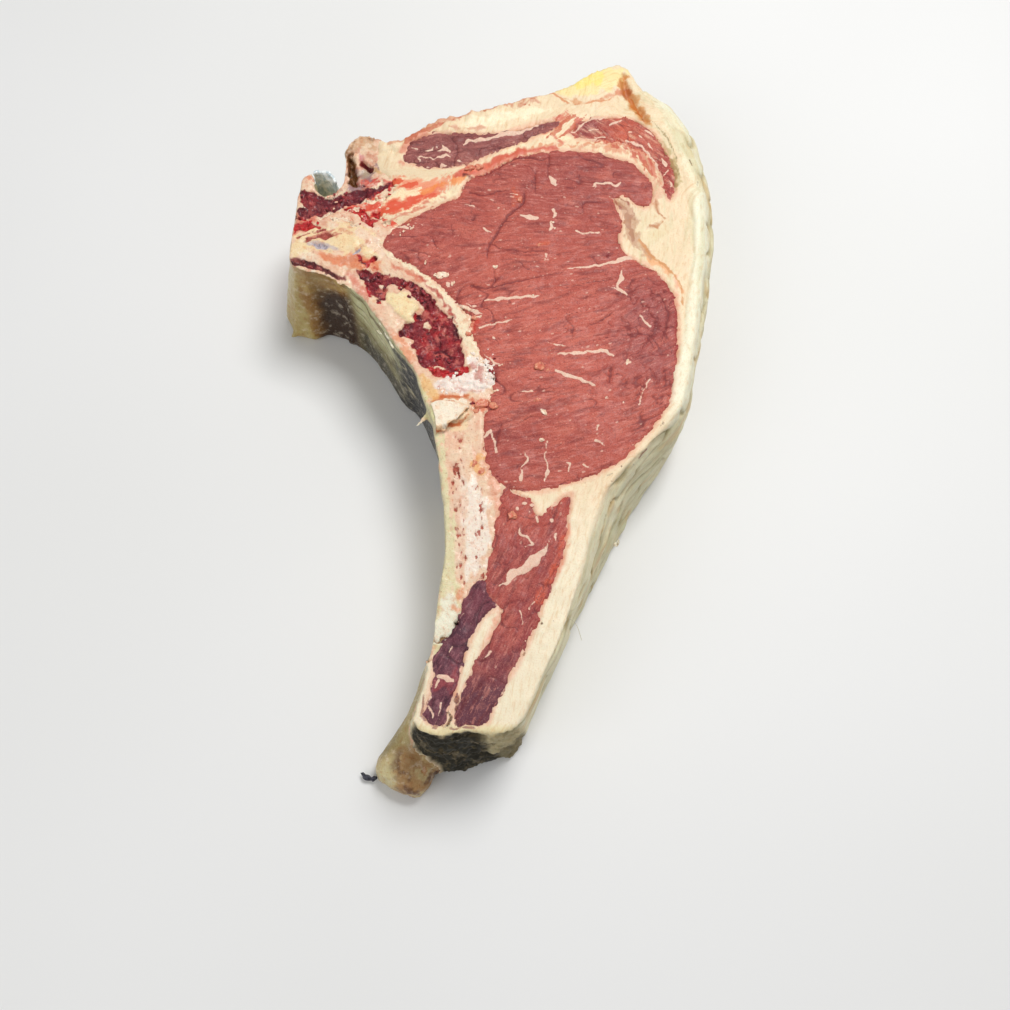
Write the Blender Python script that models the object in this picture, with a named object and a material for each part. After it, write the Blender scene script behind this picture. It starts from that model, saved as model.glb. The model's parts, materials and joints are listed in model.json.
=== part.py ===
"""Bone-in beef rib steak, cut one rib thick and dry-aged, lying on its lower cut face.

Plan positions are in millimetres: x runs across the steak from the backbone to the fat cap, y from
the tail of the rib up to the back. The finished part stands on z = 0 with the middle of its plan
at the origin, and its objects are in metres.
"""

import math

import bmesh
import bpy
import numpy as np
from mathutils import Vector, noise
from mathutils.geometry import delaunay_2d_cdt

MM = 0.001

# Driving sizes, in mm
THICKNESS = 46.0
GAP = 0.3  # left between two pieces that touch
WALL_STEP = 4.2  # spacing of the points round the outer wall
SEAM_STEP = 3.6  # spacing of the points along a seam between two pieces
TOP_STEP = 5.6  # spacing of the points inside the cut face
RIM_ROUND = 1.3  # how far the lower edge draws in
CUTTER_REACH = 12.0  # how far a cutter runs past the two cut faces

# The outer edge of the upper cut face: x, y, how far the foot of the wall stands out, how far the
# wall bulges halfway down, and how ragged the edge is
TAIL_AND_CAP_SIDE = (
    (3.5, 84.0, 4.0, 0.0, 0.3),
    (8.0, 91.0, 1.0, 0.5, 0.3),
    (12.6, 101.0, 0.5, 1.0, 0.3),
    (18.0, 113.0, 1.0, 1.2, 0.3),
    (22.7, 126.5, 1.5, 1.2, 0.4),
    (26.5, 139.0, 4.0, 2.0, 0.5),
    (29.5, 152.0, 7.0, 2.5, 0.5),
    (33.5, 164.5, 9.5, 2.0, 0.5),
    (40.5, 175.5, 8.5, 1.5, 0.5),
    (50.0, 185.0, 5.5, 1.5, 0.5),
    (58.5, 194.5, 3.0, 2.5, 0.5),
    (64.5, 205.0, 1.5, 3.5, 0.4),
    (68.0, 221.0, 0.0, 4.0, 0.3),
    (70.7, 239.0, 0.0, 5.0, 0.3),
    (73.0, 255.0, 0.0, 6.0, 0.4),
    (74.2, 272.0, 0.0, 7.0, 0.4),
    (74.2, 288.0, 0.0, 8.0, 0.4),
    (72.5, 302.0, 0.0, 9.5, 0.4),
    (69.0, 314.0, 0.0, 11.0, 0.4),
    (64.0, 325.5, 0.0, 12.0, 0.5),
    (57.5, 336.5, 0.0, 10.5, 0.6),
    (51.5, 345.5, 0.0, 5.0, 0.6),
)
BACK_SIDE = (
    (48.5, 351.5, 0.0, 2.0, 0.3),
    (44.8, 355.0, 0.0, 1.0, 0.3),
    (41.0, 354.6, 0.0, 1.0, 0.4),
    (34.0, 351.0, 0.0, 1.0, 0.6),
    (21.0, 344.2, 0.0, 1.5, 0.8),
    (6.0, 339.0, 0.0, 2.0, 0.9),
    (-8.0, 334.0, 0.0, 2.0, 0.9),
    (-18.0, 331.8, 0.0, 1.5, 0.9),
    (-31.0, 327.3, 0.0, 1.5, 0.9),
    (-40.0, 322.0, 0.0, 1.0, 0.9),
    (-47.0, 317.8, 0.0, 1.0, 0.9),
    (-53.0, 317.2, 0.0, 0.5, 0.8),
)
BACKBONE_SIDE = (
    (-57.5, 319.2, 0.0, 0.0, 0.9),
    (-61.0, 321.0, 0.0, 0.0, 0.8),
    (-65.5, 318.5, 0.0, 0.0, 0.9),
    (-68.5, 313.5, 0.0, -0.5, 0.8),
    (-67.8, 307.0, 0.0, -0.5, 0.6),
    (-68.6, 299.0, 0.0, -0.5, 0.3),
    (-71.0, 294.3, 0.0, 0.0, 0.2),
    (-75.0, 292.5, 0.0, 0.0, 0.2),
    (-79.0, 294.0, 0.0, 0.0, 0.2),
    (-80.3, 299.5, 0.0, 0.0, 0.3),
    (-82.0, 303.0, 0.0, 0.0, 0.3),
    (-84.6, 301.5, 0.5, 0.0, 0.4),
    (-85.6, 295.0, 1.0, 0.0, 0.5),
    (-87.0, 283.5, 3.0, 0.0, 0.6),
    (-87.5, 271.0, 7.0, -0.5, 0.6),
    (-87.4, 262.0, 11.5, -0.5, 0.3),
    (-84.0, 258.2, 10.5, -2.0, 0.3),
    (-78.0, 256.5, 7.0, -4.5, 0.4),
    (-71.0, 254.2, 6.0, -4.5, 0.5),
    (-64.0, 250.5, 5.5, -2.5, 0.5),
    (-58.0, 246.3, 5.0, -1.0, 0.5),
)
RIB_SIDE = (
    (-52.5, 239.5, 4.5, 0.0, 0.6),
    (-47.5, 232.0, 4.5, 0.0, 0.6),
    (-42.0, 223.5, 4.5, 0.0, 0.6),
    (-36.5, 216.0, 3.0, 0.0, 0.6),
    (-32.5, 206.0, 1.5, 0.3, 0.6),
    (-29.0, 194.0, 0.5, 0.5, 0.5),
    (-26.3, 184.0, 0.0, 0.5, 0.4),
    (-24.8, 173.0, 0.0, 0.5, 0.4),
    (-23.0, 161.0, 0.0, 0.5, 0.4),
    (-22.0, 148.0, 0.0, 0.5, 0.4),
    (-23.5, 134.0, 0.0, 0.5, 0.4),
    (-25.0, 120.0, 0.5, 0.5, 0.4),
    (-26.5, 107.5, 1.5, 0.5, 0.3),
    (-28.6, 95.0, 4.0, 0.5, 0.3),
    (-31.0, 86.0, 6.0, 0.0, 0.3),
)
TAIL_END = (
    (-29.5, 83.0, 9.0, 0.0, 0.4),
    (-22.0, 81.3, 11.5, 0.3, 0.6),
    (-12.0, 82.6, 9.5, 0.5, 0.6),
    (-3.0, 81.8, 6.5, 0.3, 0.5),
)
OUTLINE = TAIL_AND_CAP_SIDE + BACK_SIDE + BACKBONE_SIDE + RIB_SIDE + TAIL_END

# The wall, level by level: height as a share of the thickness, then the share of the bulge and of
# the foot's stand-out that it has there
WALL_LEVELS = (
    (1.0, 0.0, 0.0),
    (0.945, 0.42, 0.06),
    (0.83, 0.82, 0.18),
    (0.6, 1.0, 0.42),
    (0.3, 0.85, 0.74),
    (0.05, 0.45, 1.0),
    (0.0, 0.4, 1.0),
)

# Low relief of the upper cut face: x, y, radius and height of each swelling or hollow
TOP_RELIEF = (
    (8.0, 215.0, 42.0, 1.3),
    (-2.0, 285.0, 34.0, 1.0),
    (55.0, 276.0, 13.0, -1.6),
    (47.0, 338.0, 8.0, -2.2),
    (32.0, 346.0, 13.0, 1.5),
    (-66.0, 291.0, 13.0, -2.0),
    (-60.0, 305.0, 6.0, -3.0),
    (-66.0, 271.0, 13.0, 1.3),
    (-30.0, 230.0, 10.0, -2.4),
    (-50.0, 253.0, 8.0, -1.6),
    (-42.0, 243.0, 6.0, 1.2),
    (-15.0, 165.0, 16.0, 0.9),
    (12.0, 170.0, 16.0, -1.4),
    (-20.0, 88.0, 8.0, -2.0),
    (62.0, 318.0, 12.0, -1.2),
)

# Seam outlines of the pieces in the cut face, each drawn a little past its neighbours that are
# cut out of it
EYE_MUSCLE = (
    (-51.0, 270.0), (-47.5, 275.0), (-38.0, 281.5), (-25.0, 288.8), (-20.3, 290.8), (-19.3, 296.0),
    (-16.5, 300.0), (-10.0, 302.5), (-2.5, 308.0), (8.0, 311.3), (20.0, 312.6), (31.0, 312.4),
    (42.0, 309.6), (49.0, 306.5), (54.0, 300.5), (56.2, 294.0), (54.5, 287.5), (50.5, 287.5),
    (46.5, 291.5), (40.5, 292.0), (41.0, 286.5), (43.0, 280.0), (42.2, 273.0), (43.5, 266.5),
    (49.0, 262.5), (56.0, 257.5), (61.5, 250.0), (63.5, 239.0), (62.8, 222.0), (60.5, 206.0),
    (56.5, 197.5), (49.5, 189.5), (41.0, 179.8), (30.0, 174.0), (18.0, 169.8), (8.0, 167.8),
    (-1.0, 169.5), (-5.5, 172.5), (-8.5, 182.0), (-9.5, 193.0), (-7.5, 202.0), (-6.0, 210.0),
    (-10.0, 219.0), (-14.5, 229.5), (-14.5, 236.5), (-20.0, 242.5), (-27.0, 250.5), (-36.5, 258.5),
    (-45.0, 263.5),
)
TOP_MUSCLE = (
    (-43.5, 311.0), (-42.0, 317.0), (-35.0, 320.3), (-24.0, 321.4), (-9.0, 320.8), (3.0, 323.3),
    (14.0, 327.3), (20.0, 326.8), (15.5, 323.0), (7.0, 319.0), (-2.0, 315.0), (-10.5, 311.0),
    (-18.0, 306.7), (-27.0, 305.0), (-36.5, 305.3), (-42.0, 307.0),
)
CAP_MUSCLE = (
    (23.0, 321.5), (27.0, 326.5), (35.5, 329.0), (48.0, 329.3), (54.5, 325.0), (60.5, 316.5),
    (64.3, 306.0), (65.2, 297.0), (63.2, 290.5), (60.8, 293.5), (60.0, 301.0), (56.5, 309.5),
    (50.0, 315.0), (40.0, 318.0), (29.5, 319.0),
)
OUTER_RIB_MUSCLE = (
    (-2.5, 169.0), (1.5, 167.2), (7.0, 164.8), (9.5, 160.0), (11.5, 157.5), (16.0, 161.5),
    (22.5, 167.5), (21.5, 158.0), (20.0, 147.0), (17.0, 135.5), (12.0, 125.0), (8.3, 115.5),
    (3.5, 105.5), (-1.5, 96.0), (-4.5, 89.0), (-7.0, 84.5), (-14.0, 84.8), (-17.3, 85.5),
    (-16.5, 91.0), (-13.5, 98.0), (-9.5, 106.5), (-5.0, 115.5), (-1.5, 124.0), (-6.0, 128.5),
    (-7.5, 134.0), (-6.5, 143.0), (-4.5, 152.0), (-3.0, 161.0),
)
INNER_RIB_MUSCLE = (
    (-10.5, 134.5), (-14.0, 129.5), (-15.8, 123.0), (-17.5, 117.5), (-22.0, 112.5), (-24.5, 106.5),
    (-24.8, 99.0), (-26.3, 92.0), (-28.0, 87.5), (-25.5, 84.6), (-21.0, 84.4), (-20.5, 89.0),
    (-17.8, 94.5), (-16.0, 101.5), (-14.0, 109.5), (-11.5, 117.0), (-8.0, 121.5), (-3.5, 126.0),
    (-5.0, 132.0),
)
RIB_BONE = (
    (-31.0, 105.0), (-25.5, 106.5), (-20.5, 114.0), (-17.5, 121.0), (-14.0, 129.0), (-9.5, 134.5),
    (-3.5, 139.0), (2.0, 160.0), (4.0, 200.0), (0.0, 225.0), (-20.0, 255.0), (-44.0, 272.0),
    (-51.5, 267.5), (-57.0, 262.5), (-63.5, 258.0), (-66.5, 252.0), (-72.0, 238.0), (-60.0, 222.0),
    (-46.0, 205.0), (-40.0, 180.0), (-38.0, 150.0), (-38.0, 120.0),
)
BACKBONE = (
    (-42.0, 268.0), (-46.0, 278.5), (-52.0, 281.5), (-52.5, 288.0), (-47.5, 293.5), (-48.0, 298.5),
    (-53.0, 303.0), (-55.5, 310.0), (-55.5, 326.0), (-75.0, 330.0), (-105.0, 315.0),
    (-108.0, 260.0), (-105.0, 235.0), (-80.0, 236.0), (-62.0, 232.0), (-60.0, 250.0),
)

# The bare end of the rib, which runs down and out from under the tail: x, y, half its width and
# the height of its ridge
RIB_END = (
    (-17.5, 123.0, 6.5, 35.0),
    (-21.4, 109.5, 8.0, 30.5),
    (-25.0, 98.0, 8.8, 25.0),
    (-28.9, 87.0, 9.6, 19.0),
    (-33.8, 77.5, 10.6, 15.5),
    (-38.6, 69.8, 11.2, 13.5),
    (-40.6, 66.2, 9.6, 11.5),
    (-41.4, 64.4, 7.0, 8.5),
)
RIB_END_FOOT = 0.2  # clearance of its underside from the resting face
RIB_END_ARCH = 9  # points over its ridge

# Splinters and flakes of bone
FLAKE = ((-29.5, 200.5), (-19.0, 200.8), (-13.5, 197.0), (-21.5, 192.5), (-26.5, 189.8))
FLAKE_RISE = (-2.5, 2.8)  # its underside and its upper side, from the cut face
SPLINTER_ROOT = (-29.5, 199.0, 42.5)
SPLINTER_TIP = (-36.8, 191.5, 43.5)
SPLINTER_RADIUS = 1.9
SPUR_ROOT = (-88.0, 256.0, 6.0)
SPUR_TIP = (-96.5, 249.5, 2.0)
SPUR_RADIUS = 4.5

# The film of the spinal canal, a thin curled sheet in the notch of the backbone: its middle line
# in plan, its wall and the heights it spans
CANAL_FILM = ((-79.3, 300.7), (-77.6, 301.3), (-74.8, 300.6), (-72.8, 298.6), (-71.9, 296.2))
CANAL_FILM_WALL = 1.3
CANAL_FILM_SPAN = (24.0, 44.5)

# Base colour, roughness of each piece
FINISHES = {
    "fat": ((0.80, 0.67, 0.47), 0.42),
    "eye_muscle": ((0.42, 0.09, 0.08), 0.38),
    "top_muscle": ((0.25, 0.06, 0.06), 0.42),
    "cap_muscle": ((0.48, 0.10, 0.08), 0.40),
    "outer_rib_muscle": ((0.34, 0.07, 0.07), 0.42),
    "inner_rib_muscle": ((0.13, 0.03, 0.05), 0.48),
    "rib_bone": ((0.76, 0.52, 0.38), 0.55),
    "backbone": ((0.62, 0.40, 0.28), 0.55),
    "canal_film": ((0.30, 0.37, 0.40), 0.25),
}


def catmull_rom(points, t, i):
    """The point at t of the stretch after points[i], on the closed curve through all of them."""
    a, b, c, d = (points[(i + k) % len(points)] for k in (-1, 0, 1, 2))
    return 0.5 * (2 * b + (c - a) * t + (2 * a - 5 * b + 4 * c - d) * t**2 + (3 * b - a - 3 * c + d) * t**3)


def smooth_loop(points, step):
    """Rows of values evenly spaced along the closed curve through these rows. The first two are x, y."""
    points = np.array(points, float)
    fine = np.array([catmull_rom(points, t, i) for i in range(len(points)) for t in np.arange(0, 1, 0.05)])
    closed = np.vstack([fine, fine[:1]])
    travel = np.concatenate([[0.0], np.cumsum(np.linalg.norm(np.diff(closed[:, :2], axis=0), axis=1))])
    places = np.linspace(0, travel[-1], max(8, round(travel[-1] / step)), endpoint=False)
    return np.stack([np.interp(places, travel, column) for column in closed.T], axis=1)


def outward(loop):
    """Unit normals of a closed plan loop that runs anticlockwise, pointing out of it."""
    along = np.roll(loop[:, :2], -1, axis=0) - np.roll(loop[:, :2], 1, axis=0)
    normals = np.stack([along[:, 1], -along[:, 0]], axis=1)
    return normals / np.linalg.norm(normals, axis=1)[:, None]


def anticlockwise(points):
    x, y = np.array(points, float)[:, :2].T
    turning = np.sum(x * np.roll(y, -1) - y * np.roll(x, -1))
    return points if turning > 0 else points[::-1]


def raggedness(x, y, z):
    """A seeded unevenness of about -1 to 1 at a place in the steak."""
    coarse = noise.noise(Vector((x / 9.0, y / 9.0, z / 16.0)))
    fine = noise.noise(Vector((x / 3.6, y / 3.6, z / 8.0)))
    return 1.3 * coarse + 0.7 * fine


def top_height(x, y):
    """Height of the upper cut face."""
    height = THICKNESS + 0.25 * noise.noise(Vector((x / 14.0, y / 14.0, 0.5)))
    for at_x, at_y, radius, rise in TOP_RELIEF:
        height += rise * math.exp(-((x - at_x) ** 2 + (y - at_y) ** 2) / radius**2)
    return height


def mesh_object(name, points, faces):
    """An object from points in mm and faces, with its faces turned outward."""
    mesh = bpy.data.meshes.new(name)
    mesh.from_pydata([tuple(MM * c for c in point) for point in points], [], faces)
    made = bpy.data.objects.new(name, mesh)
    bpy.context.scene.collection.objects.link(made)
    shell = bmesh.new()
    shell.from_mesh(mesh)
    bmesh.ops.recalc_face_normals(shell, faces=shell.faces)
    shell.to_mesh(mesh)
    shell.free()
    return made


def ring_sides(count, rings, first=0):
    """Quads between rings of this many points each, stored one after the other."""
    sides = []
    for ring in range(rings - 1):
        low = first + ring * count
        sides += [
            (low + i, low + (i + 1) % count, low + count + (i + 1) % count, low + count + i)
            for i in range(count)
        ]
    return sides


def inside(points, loop):
    """Which plan points lie inside a closed plan loop."""
    x, y = points[:, 0, None], points[:, 1, None]
    ax, ay = loop[None, :, 0], loop[None, :, 1]
    bx, by = np.roll(ax, -1), np.roll(ay, -1)
    rise = np.where(by == ay, 1e-12, by - ay)
    crosses = ((ay > y) != (by > y)) & (x < (bx - ax) * (y - ay) / rise + ax)
    return crosses.sum(axis=1) % 2 == 1


def filling(loop):
    """Plan points on a triangular lattice inside a loop, clear of its edge."""
    low, high = loop.min(axis=0), loop.max(axis=0)
    rows = np.arange(low[1], high[1], TOP_STEP * math.sqrt(0.75))
    lattice = np.array([
        (x + (row % 2) * TOP_STEP / 2, y)
        for row, y in enumerate(rows)
        for x in np.arange(low[0], high[0], TOP_STEP)
    ])
    kept = lattice[inside(lattice, loop)]
    clearance = np.linalg.norm(kept[:, None] - loop[None], axis=2).min(axis=1)
    return kept[clearance > 0.6 * TOP_STEP]


def steak_body():
    """The whole steak as one body: walls ring by ring, a flat foot and a gently uneven cut face."""
    outline = smooth_loop(OUTLINE, WALL_STEP)
    normals = outward(outline)
    edge, foot, bulge, ragged = outline[:, :2], outline[:, 2], outline[:, 3], outline[:, 4]
    rings = []
    for share, bulge_share, foot_share in WALL_LEVELS:
        z = share * THICKNESS
        draw_in = RIM_ROUND if share == 0 else 0.0
        uneven = np.array([raggedness(x, y, z) for x, y in edge])
        reach = bulge * bulge_share + foot * foot_share + ragged * uneven - draw_in
        place = edge + normals * reach[:, None]
        height = np.array([top_height(x, y) for x, y in place]) if share == 1.0 else np.full(len(place), z)
        rings.append(np.column_stack([place, height]))
    count = len(edge)
    points = [tuple(point) for ring in rings for point in ring]
    faces = ring_sides(count, len(rings))
    faces.append(tuple(range(count * (len(rings) - 1), count * len(rings))))
    rim = rings[0][:, :2]
    inner = filling(rim)
    plan = [Vector(p) for p in np.vstack([rim, inner])]
    laid, _, triangles, origins, _, _ = delaunay_2d_cdt(plan, [], [tuple(range(count))], 1, 1e-4)
    number = {}
    for i, (place, origin) in enumerate(zip(laid, origins)):
        if origin and origin[0] < count:
            number[i] = origin[0]
        else:
            number[i] = len(points)
            points.append((place.x, place.y, top_height(place.x, place.y)))
    faces += [tuple(number[i] for i in triangle) for triangle in triangles]
    return mesh_object("steak_body", points, faces)


def prism(name, loop, low, high):
    """An upright solid over a plan loop."""
    count = len(loop)
    points = [(x, y, z) for z in (low, high) for x, y in loop[:, :2]]
    faces = ring_sides(count, 2) + [tuple(range(count)), tuple(range(count, 2 * count))]
    return mesh_object(name, points, faces)


def seam_cutter(name, outline, grow=0.0):
    """A cutter over a piece's seam outline, grown all round where it makes room for the piece."""
    loop = smooth_loop(anticlockwise(outline), SEAM_STEP)
    loop = loop + outward(loop) * grow
    return prism(name, loop, -CUTTER_REACH, THICKNESS + CUTTER_REACH)


def rib_end(name, grow=0.0):
    """The bare end of the rib: arched sections along its length, lofted."""
    stations = np.array(RIB_END)
    along = np.gradient(stations[:, :2], axis=0)
    along /= np.linalg.norm(along, axis=1)[:, None]
    stations[-1, :2] += along[-1] * grow
    across = np.stack([along[:, 1], -along[:, 0]], axis=1)
    low = RIB_END_FOOT if grow == 0 else -CUTTER_REACH
    points = []
    for (x, y, half, ridge), (side_x, side_y) in zip(stations, across):
        for i in range(RIB_END_ARCH):
            turn = math.pi * i / (RIB_END_ARCH - 1)
            shift = (half + grow) * math.copysign(abs(math.cos(turn)) ** 0.75, math.cos(turn))
            height = 0.35 * ridge + (0.65 * ridge + grow) * math.sin(turn) ** 0.9
            points.append((x + side_x * shift, y + side_y * shift, height))
        for sign in (-1, 1):
            reach = sign * (0.94 * half + grow)
            points.append((x + side_x * reach, y + side_y * reach, low))
    count = RIB_END_ARCH + 2
    faces = ring_sides(count, len(stations))
    faces += [tuple(range(count)), tuple(range(count * (len(stations) - 1), count * len(stations)))]
    return mesh_object(name, points, faces)


def spike(name, root, tip, radius, sides=6):
    """A pointed splinter of bone from its root to its tip."""
    axis = Vector(tip) - Vector(root)
    turn = axis.to_track_quat("Z", "Y")
    ring = [
        turn @ Vector((radius * math.cos(a), 0.6 * radius * math.sin(a), 0)) + Vector(root)
        for a in (2 * math.pi * i / sides for i in range(sides))
    ]
    points = [tuple(p) for p in ring] + [tip]
    faces = [tuple(range(sides))] + [(i, (i + 1) % sides, sides) for i in range(sides)]
    return mesh_object(name, points, faces)


def boolean(body, tool, operation):
    """The body cut by or joined with a tool, applied, with the tool removed."""
    modifier = body.modifiers.new(operation.title(), "BOOLEAN")
    modifier.operation = operation
    modifier.solver = "EXACT"
    modifier.object = tool
    bpy.context.view_layer.update()
    evaluated = body.evaluated_get(bpy.context.evaluated_depsgraph_get())
    mesh = bpy.data.meshes.new_from_object(evaluated)
    body.modifiers.clear()
    body.data = mesh
    bpy.data.objects.remove(tool)


def keep_largest(body):
    """Drops the scraps that a cut leaves beside the main body."""
    shell = bmesh.new()
    shell.from_mesh(body.data)
    shell.faces.ensure_lookup_table()
    unseen, islands = set(shell.faces), []
    while unseen:
        island, edge = set(), [unseen.pop()]
        while edge:
            face = edge.pop()
            island.add(face)
            near = {other for side in face.edges for other in side.link_faces} & unseen
            unseen -= near
            edge += near
        islands.append(island)
    islands.sort(key=lambda faces: -sum(face.calc_area() for face in faces))
    for island in islands[1:]:
        bmesh.ops.delete(shell, geom=list(island), context="FACES")
    bmesh.ops.triangulate(shell, faces=shell.faces)
    shell.to_mesh(body.data)
    shell.free()


def piece(name, steak, outline, cut_round=(), without_rib_end=True):
    """A piece of the steak under its seam outline, less its neighbours with the gap round them."""
    body = bpy.data.objects.new(name, steak.data.copy())
    bpy.context.scene.collection.objects.link(body)
    boolean(body, seam_cutter("outline", outline), "INTERSECT")
    for neighbour in cut_round:
        boolean(body, seam_cutter("neighbour", neighbour, GAP), "DIFFERENCE")
    if without_rib_end:
        boolean(body, rib_end("rib_end_room", GAP), "DIFFERENCE")
    keep_largest(body)
    return body


def fat(steak):
    """The fat, one body: cap, seams between the muscles, kernel and the streaks in the tail."""
    body = bpy.data.objects.new("fat", steak.data.copy())
    bpy.context.scene.collection.objects.link(body)
    pieces = (EYE_MUSCLE, TOP_MUSCLE, CAP_MUSCLE, OUTER_RIB_MUSCLE, INNER_RIB_MUSCLE, RIB_BONE, BACKBONE)
    for neighbour in pieces:
        boolean(body, seam_cutter("neighbour", neighbour, GAP), "DIFFERENCE")
    boolean(body, rib_end("rib_end_room", GAP), "DIFFERENCE")
    keep_largest(body)
    return body


def rib_bone(steak):
    """The rib: its head and shaft, the flake and splinter on it, and its bare end."""
    around = (EYE_MUSCLE, OUTER_RIB_MUSCLE, INNER_RIB_MUSCLE)
    body = piece("rib_bone", steak, RIB_BONE, around, without_rib_end=False)
    boolean(body, rib_end("rib_end"), "UNION")
    flake = smooth_loop(anticlockwise(FLAKE), SEAM_STEP)
    boolean(body, prism("flake", flake, THICKNESS + FLAKE_RISE[0], THICKNESS + FLAKE_RISE[1]), "UNION")
    boolean(body, spike("splinter", SPLINTER_ROOT, SPLINTER_TIP, SPLINTER_RADIUS), "UNION")
    keep_largest(body)
    return body


def backbone(steak):
    """The half vertebra, with the spur at its foot."""
    body = piece("backbone", steak, BACKBONE, (EYE_MUSCLE, RIB_BONE), without_rib_end=False)
    boolean(body, spike("spur", SPUR_ROOT, SPUR_TIP, SPUR_RADIUS), "UNION")
    keep_largest(body)
    return body


def canal_film():
    """The curled film in the notch: its middle line thickened to a wall."""
    line = np.array(CANAL_FILM)
    along = np.gradient(line, axis=0)
    side = np.stack([along[:, 1], -along[:, 0]], axis=1)
    side *= CANAL_FILM_WALL / 2 / np.linalg.norm(side, axis=1)[:, None]
    return prism("canal_film", np.vstack([line + side, (line - side)[::-1]]), *CANAL_FILM_SPAN)


def finish(body):
    """The piece's own material and smooth shading."""
    colour, roughness = FINISHES[body.name]
    material = bpy.data.materials.new(body.name + "_finish")
    material.use_nodes = True
    shader = material.node_tree.nodes["Principled BSDF"]
    shader.inputs["Base Color"].default_value = (*colour, 1.0)
    shader.inputs["Roughness"].default_value = roughness
    shader.inputs["Metallic"].default_value = 0.0
    body.data.materials.clear()
    body.data.materials.append(material)
    body.data.shade_smooth()
    body.data.set_sharp_from_angle(angle=math.radians(40))


def centre_on_floor(bodies):
    """Moves the pieces together so that the middle of their plan is the origin."""
    corners = np.array([tuple(vertex.co) for body in bodies for vertex in body.data.vertices])
    low, high = corners.min(axis=0), corners.max(axis=0)
    shift = Vector((-(low[0] + high[0]) / 2, -(low[1] + high[1]) / 2, -low[2]))
    for body in bodies:
        for vertex in body.data.vertices:
            vertex.co += shift
    return shift


def main():
    for old in list(bpy.data.objects):
        bpy.data.objects.remove(old)
    steak = steak_body()
    bodies = [
        piece("eye_muscle", steak, EYE_MUSCLE),
        piece("top_muscle", steak, TOP_MUSCLE),
        piece("cap_muscle", steak, CAP_MUSCLE),
        piece("outer_rib_muscle", steak, OUTER_RIB_MUSCLE, (EYE_MUSCLE,)),
        piece("inner_rib_muscle", steak, INNER_RIB_MUSCLE, (OUTER_RIB_MUSCLE,)),
        rib_bone(steak),
        backbone(steak),
        canal_film(),
        fat(steak),
    ]
    bpy.data.objects.remove(steak)
    shift = centre_on_floor(bodies)
    for body in bodies:
        finish(body)
    print("plan shift in mm", [round(c / MM, 2) for c in shift])
    print("triangles", {body.name: len(body.data.loop_triangles) for body in bodies})


main()
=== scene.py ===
"""Looks of the dry-aged rib steak: every CAD piece gets an even skin with its own relief, colours laid
on in washes and crisp marks, and a moist, waxy or porous finish. The crumbs, bone dust, membranes,
hairs and film that lie on it are modelled beside it.

Plan places are in millimetres, as in the model's source: x from the backbone to the fat cap and y
from the tail of the rib up to the back. SHIFT takes them to the finished part's own frame. A stroke
is a path of (x, y, width) points on the cut face, and tones are red, green and blue from 0 to 255.
"""

import itertools
import json
import math
import random

import bpy
import numpy as np
from mathutils import Euler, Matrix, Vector
from mathutils.bvhtree import BVHTree

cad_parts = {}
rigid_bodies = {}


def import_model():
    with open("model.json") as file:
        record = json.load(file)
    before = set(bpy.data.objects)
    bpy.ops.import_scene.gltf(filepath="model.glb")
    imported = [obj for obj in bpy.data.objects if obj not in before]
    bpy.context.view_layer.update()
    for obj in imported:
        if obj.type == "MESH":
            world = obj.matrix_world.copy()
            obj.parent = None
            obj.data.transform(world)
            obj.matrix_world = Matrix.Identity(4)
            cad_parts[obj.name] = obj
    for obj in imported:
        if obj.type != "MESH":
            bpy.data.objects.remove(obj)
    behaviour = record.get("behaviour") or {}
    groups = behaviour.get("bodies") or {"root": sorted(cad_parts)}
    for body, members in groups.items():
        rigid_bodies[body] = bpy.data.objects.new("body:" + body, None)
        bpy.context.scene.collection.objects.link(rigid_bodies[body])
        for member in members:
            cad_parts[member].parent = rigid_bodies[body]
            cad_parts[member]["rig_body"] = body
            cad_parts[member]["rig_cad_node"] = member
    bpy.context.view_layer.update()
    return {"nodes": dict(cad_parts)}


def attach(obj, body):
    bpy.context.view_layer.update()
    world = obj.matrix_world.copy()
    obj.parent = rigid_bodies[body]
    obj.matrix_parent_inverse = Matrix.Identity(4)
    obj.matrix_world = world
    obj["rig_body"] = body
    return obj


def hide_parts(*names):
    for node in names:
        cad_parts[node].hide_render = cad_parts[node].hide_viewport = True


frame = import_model()

MM = 0.001
SHIFT = np.array((7.88, -208.89, 0.0))  # from plan places to the part's frame, in mm
CUT_FACE = 46.0  # height of the upper cut face
CUT_ZONE = 43.0  # points above this height belong to the cut face
RAY_START = 80.0  # height from which the cut face is sounded
SEEDS = 89  # the seeds of torn edges come from their tones, and stay below this
OFF = -4.0  # depth of a mark, in mm, where there is none
BODY = "root"
LEAN_NODES = ("eye_muscle", "top_muscle", "cap_muscle", "outer_rib_muscle", "inner_rib_muscle")
BONE_NODES = ("rib_bone", "backbone")


# Noise, flow and brush strokes on plan places

def lattice_noise(places, grain, seed=0):
    """Smooth seeded noise from -1 to 1 with this grain in mm, at rows of x, y, z or x, y."""
    scaled = places / grain + 31.7 * (seed + 1)
    cell = np.floor(scaled).astype(np.int64)
    part = scaled - cell
    ease = part * part * (3 - 2 * part)
    total = np.zeros(len(places))
    primes = np.array((73856093, 19349663, 83492791))[: places.shape[1]]
    for corner in itertools.product((0, 1), repeat=places.shape[1]):
        key = ((cell + corner) * primes).sum(axis=1) + 2654435 * seed
        key = (key ^ (key >> 13)) * 1274126177
        value = ((key ^ (key >> 16)) & 0xFFFF) / 32767.5 - 1
        total += value * np.prod(np.where(corner, ease, 1 - ease), axis=1)
    return total


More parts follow.
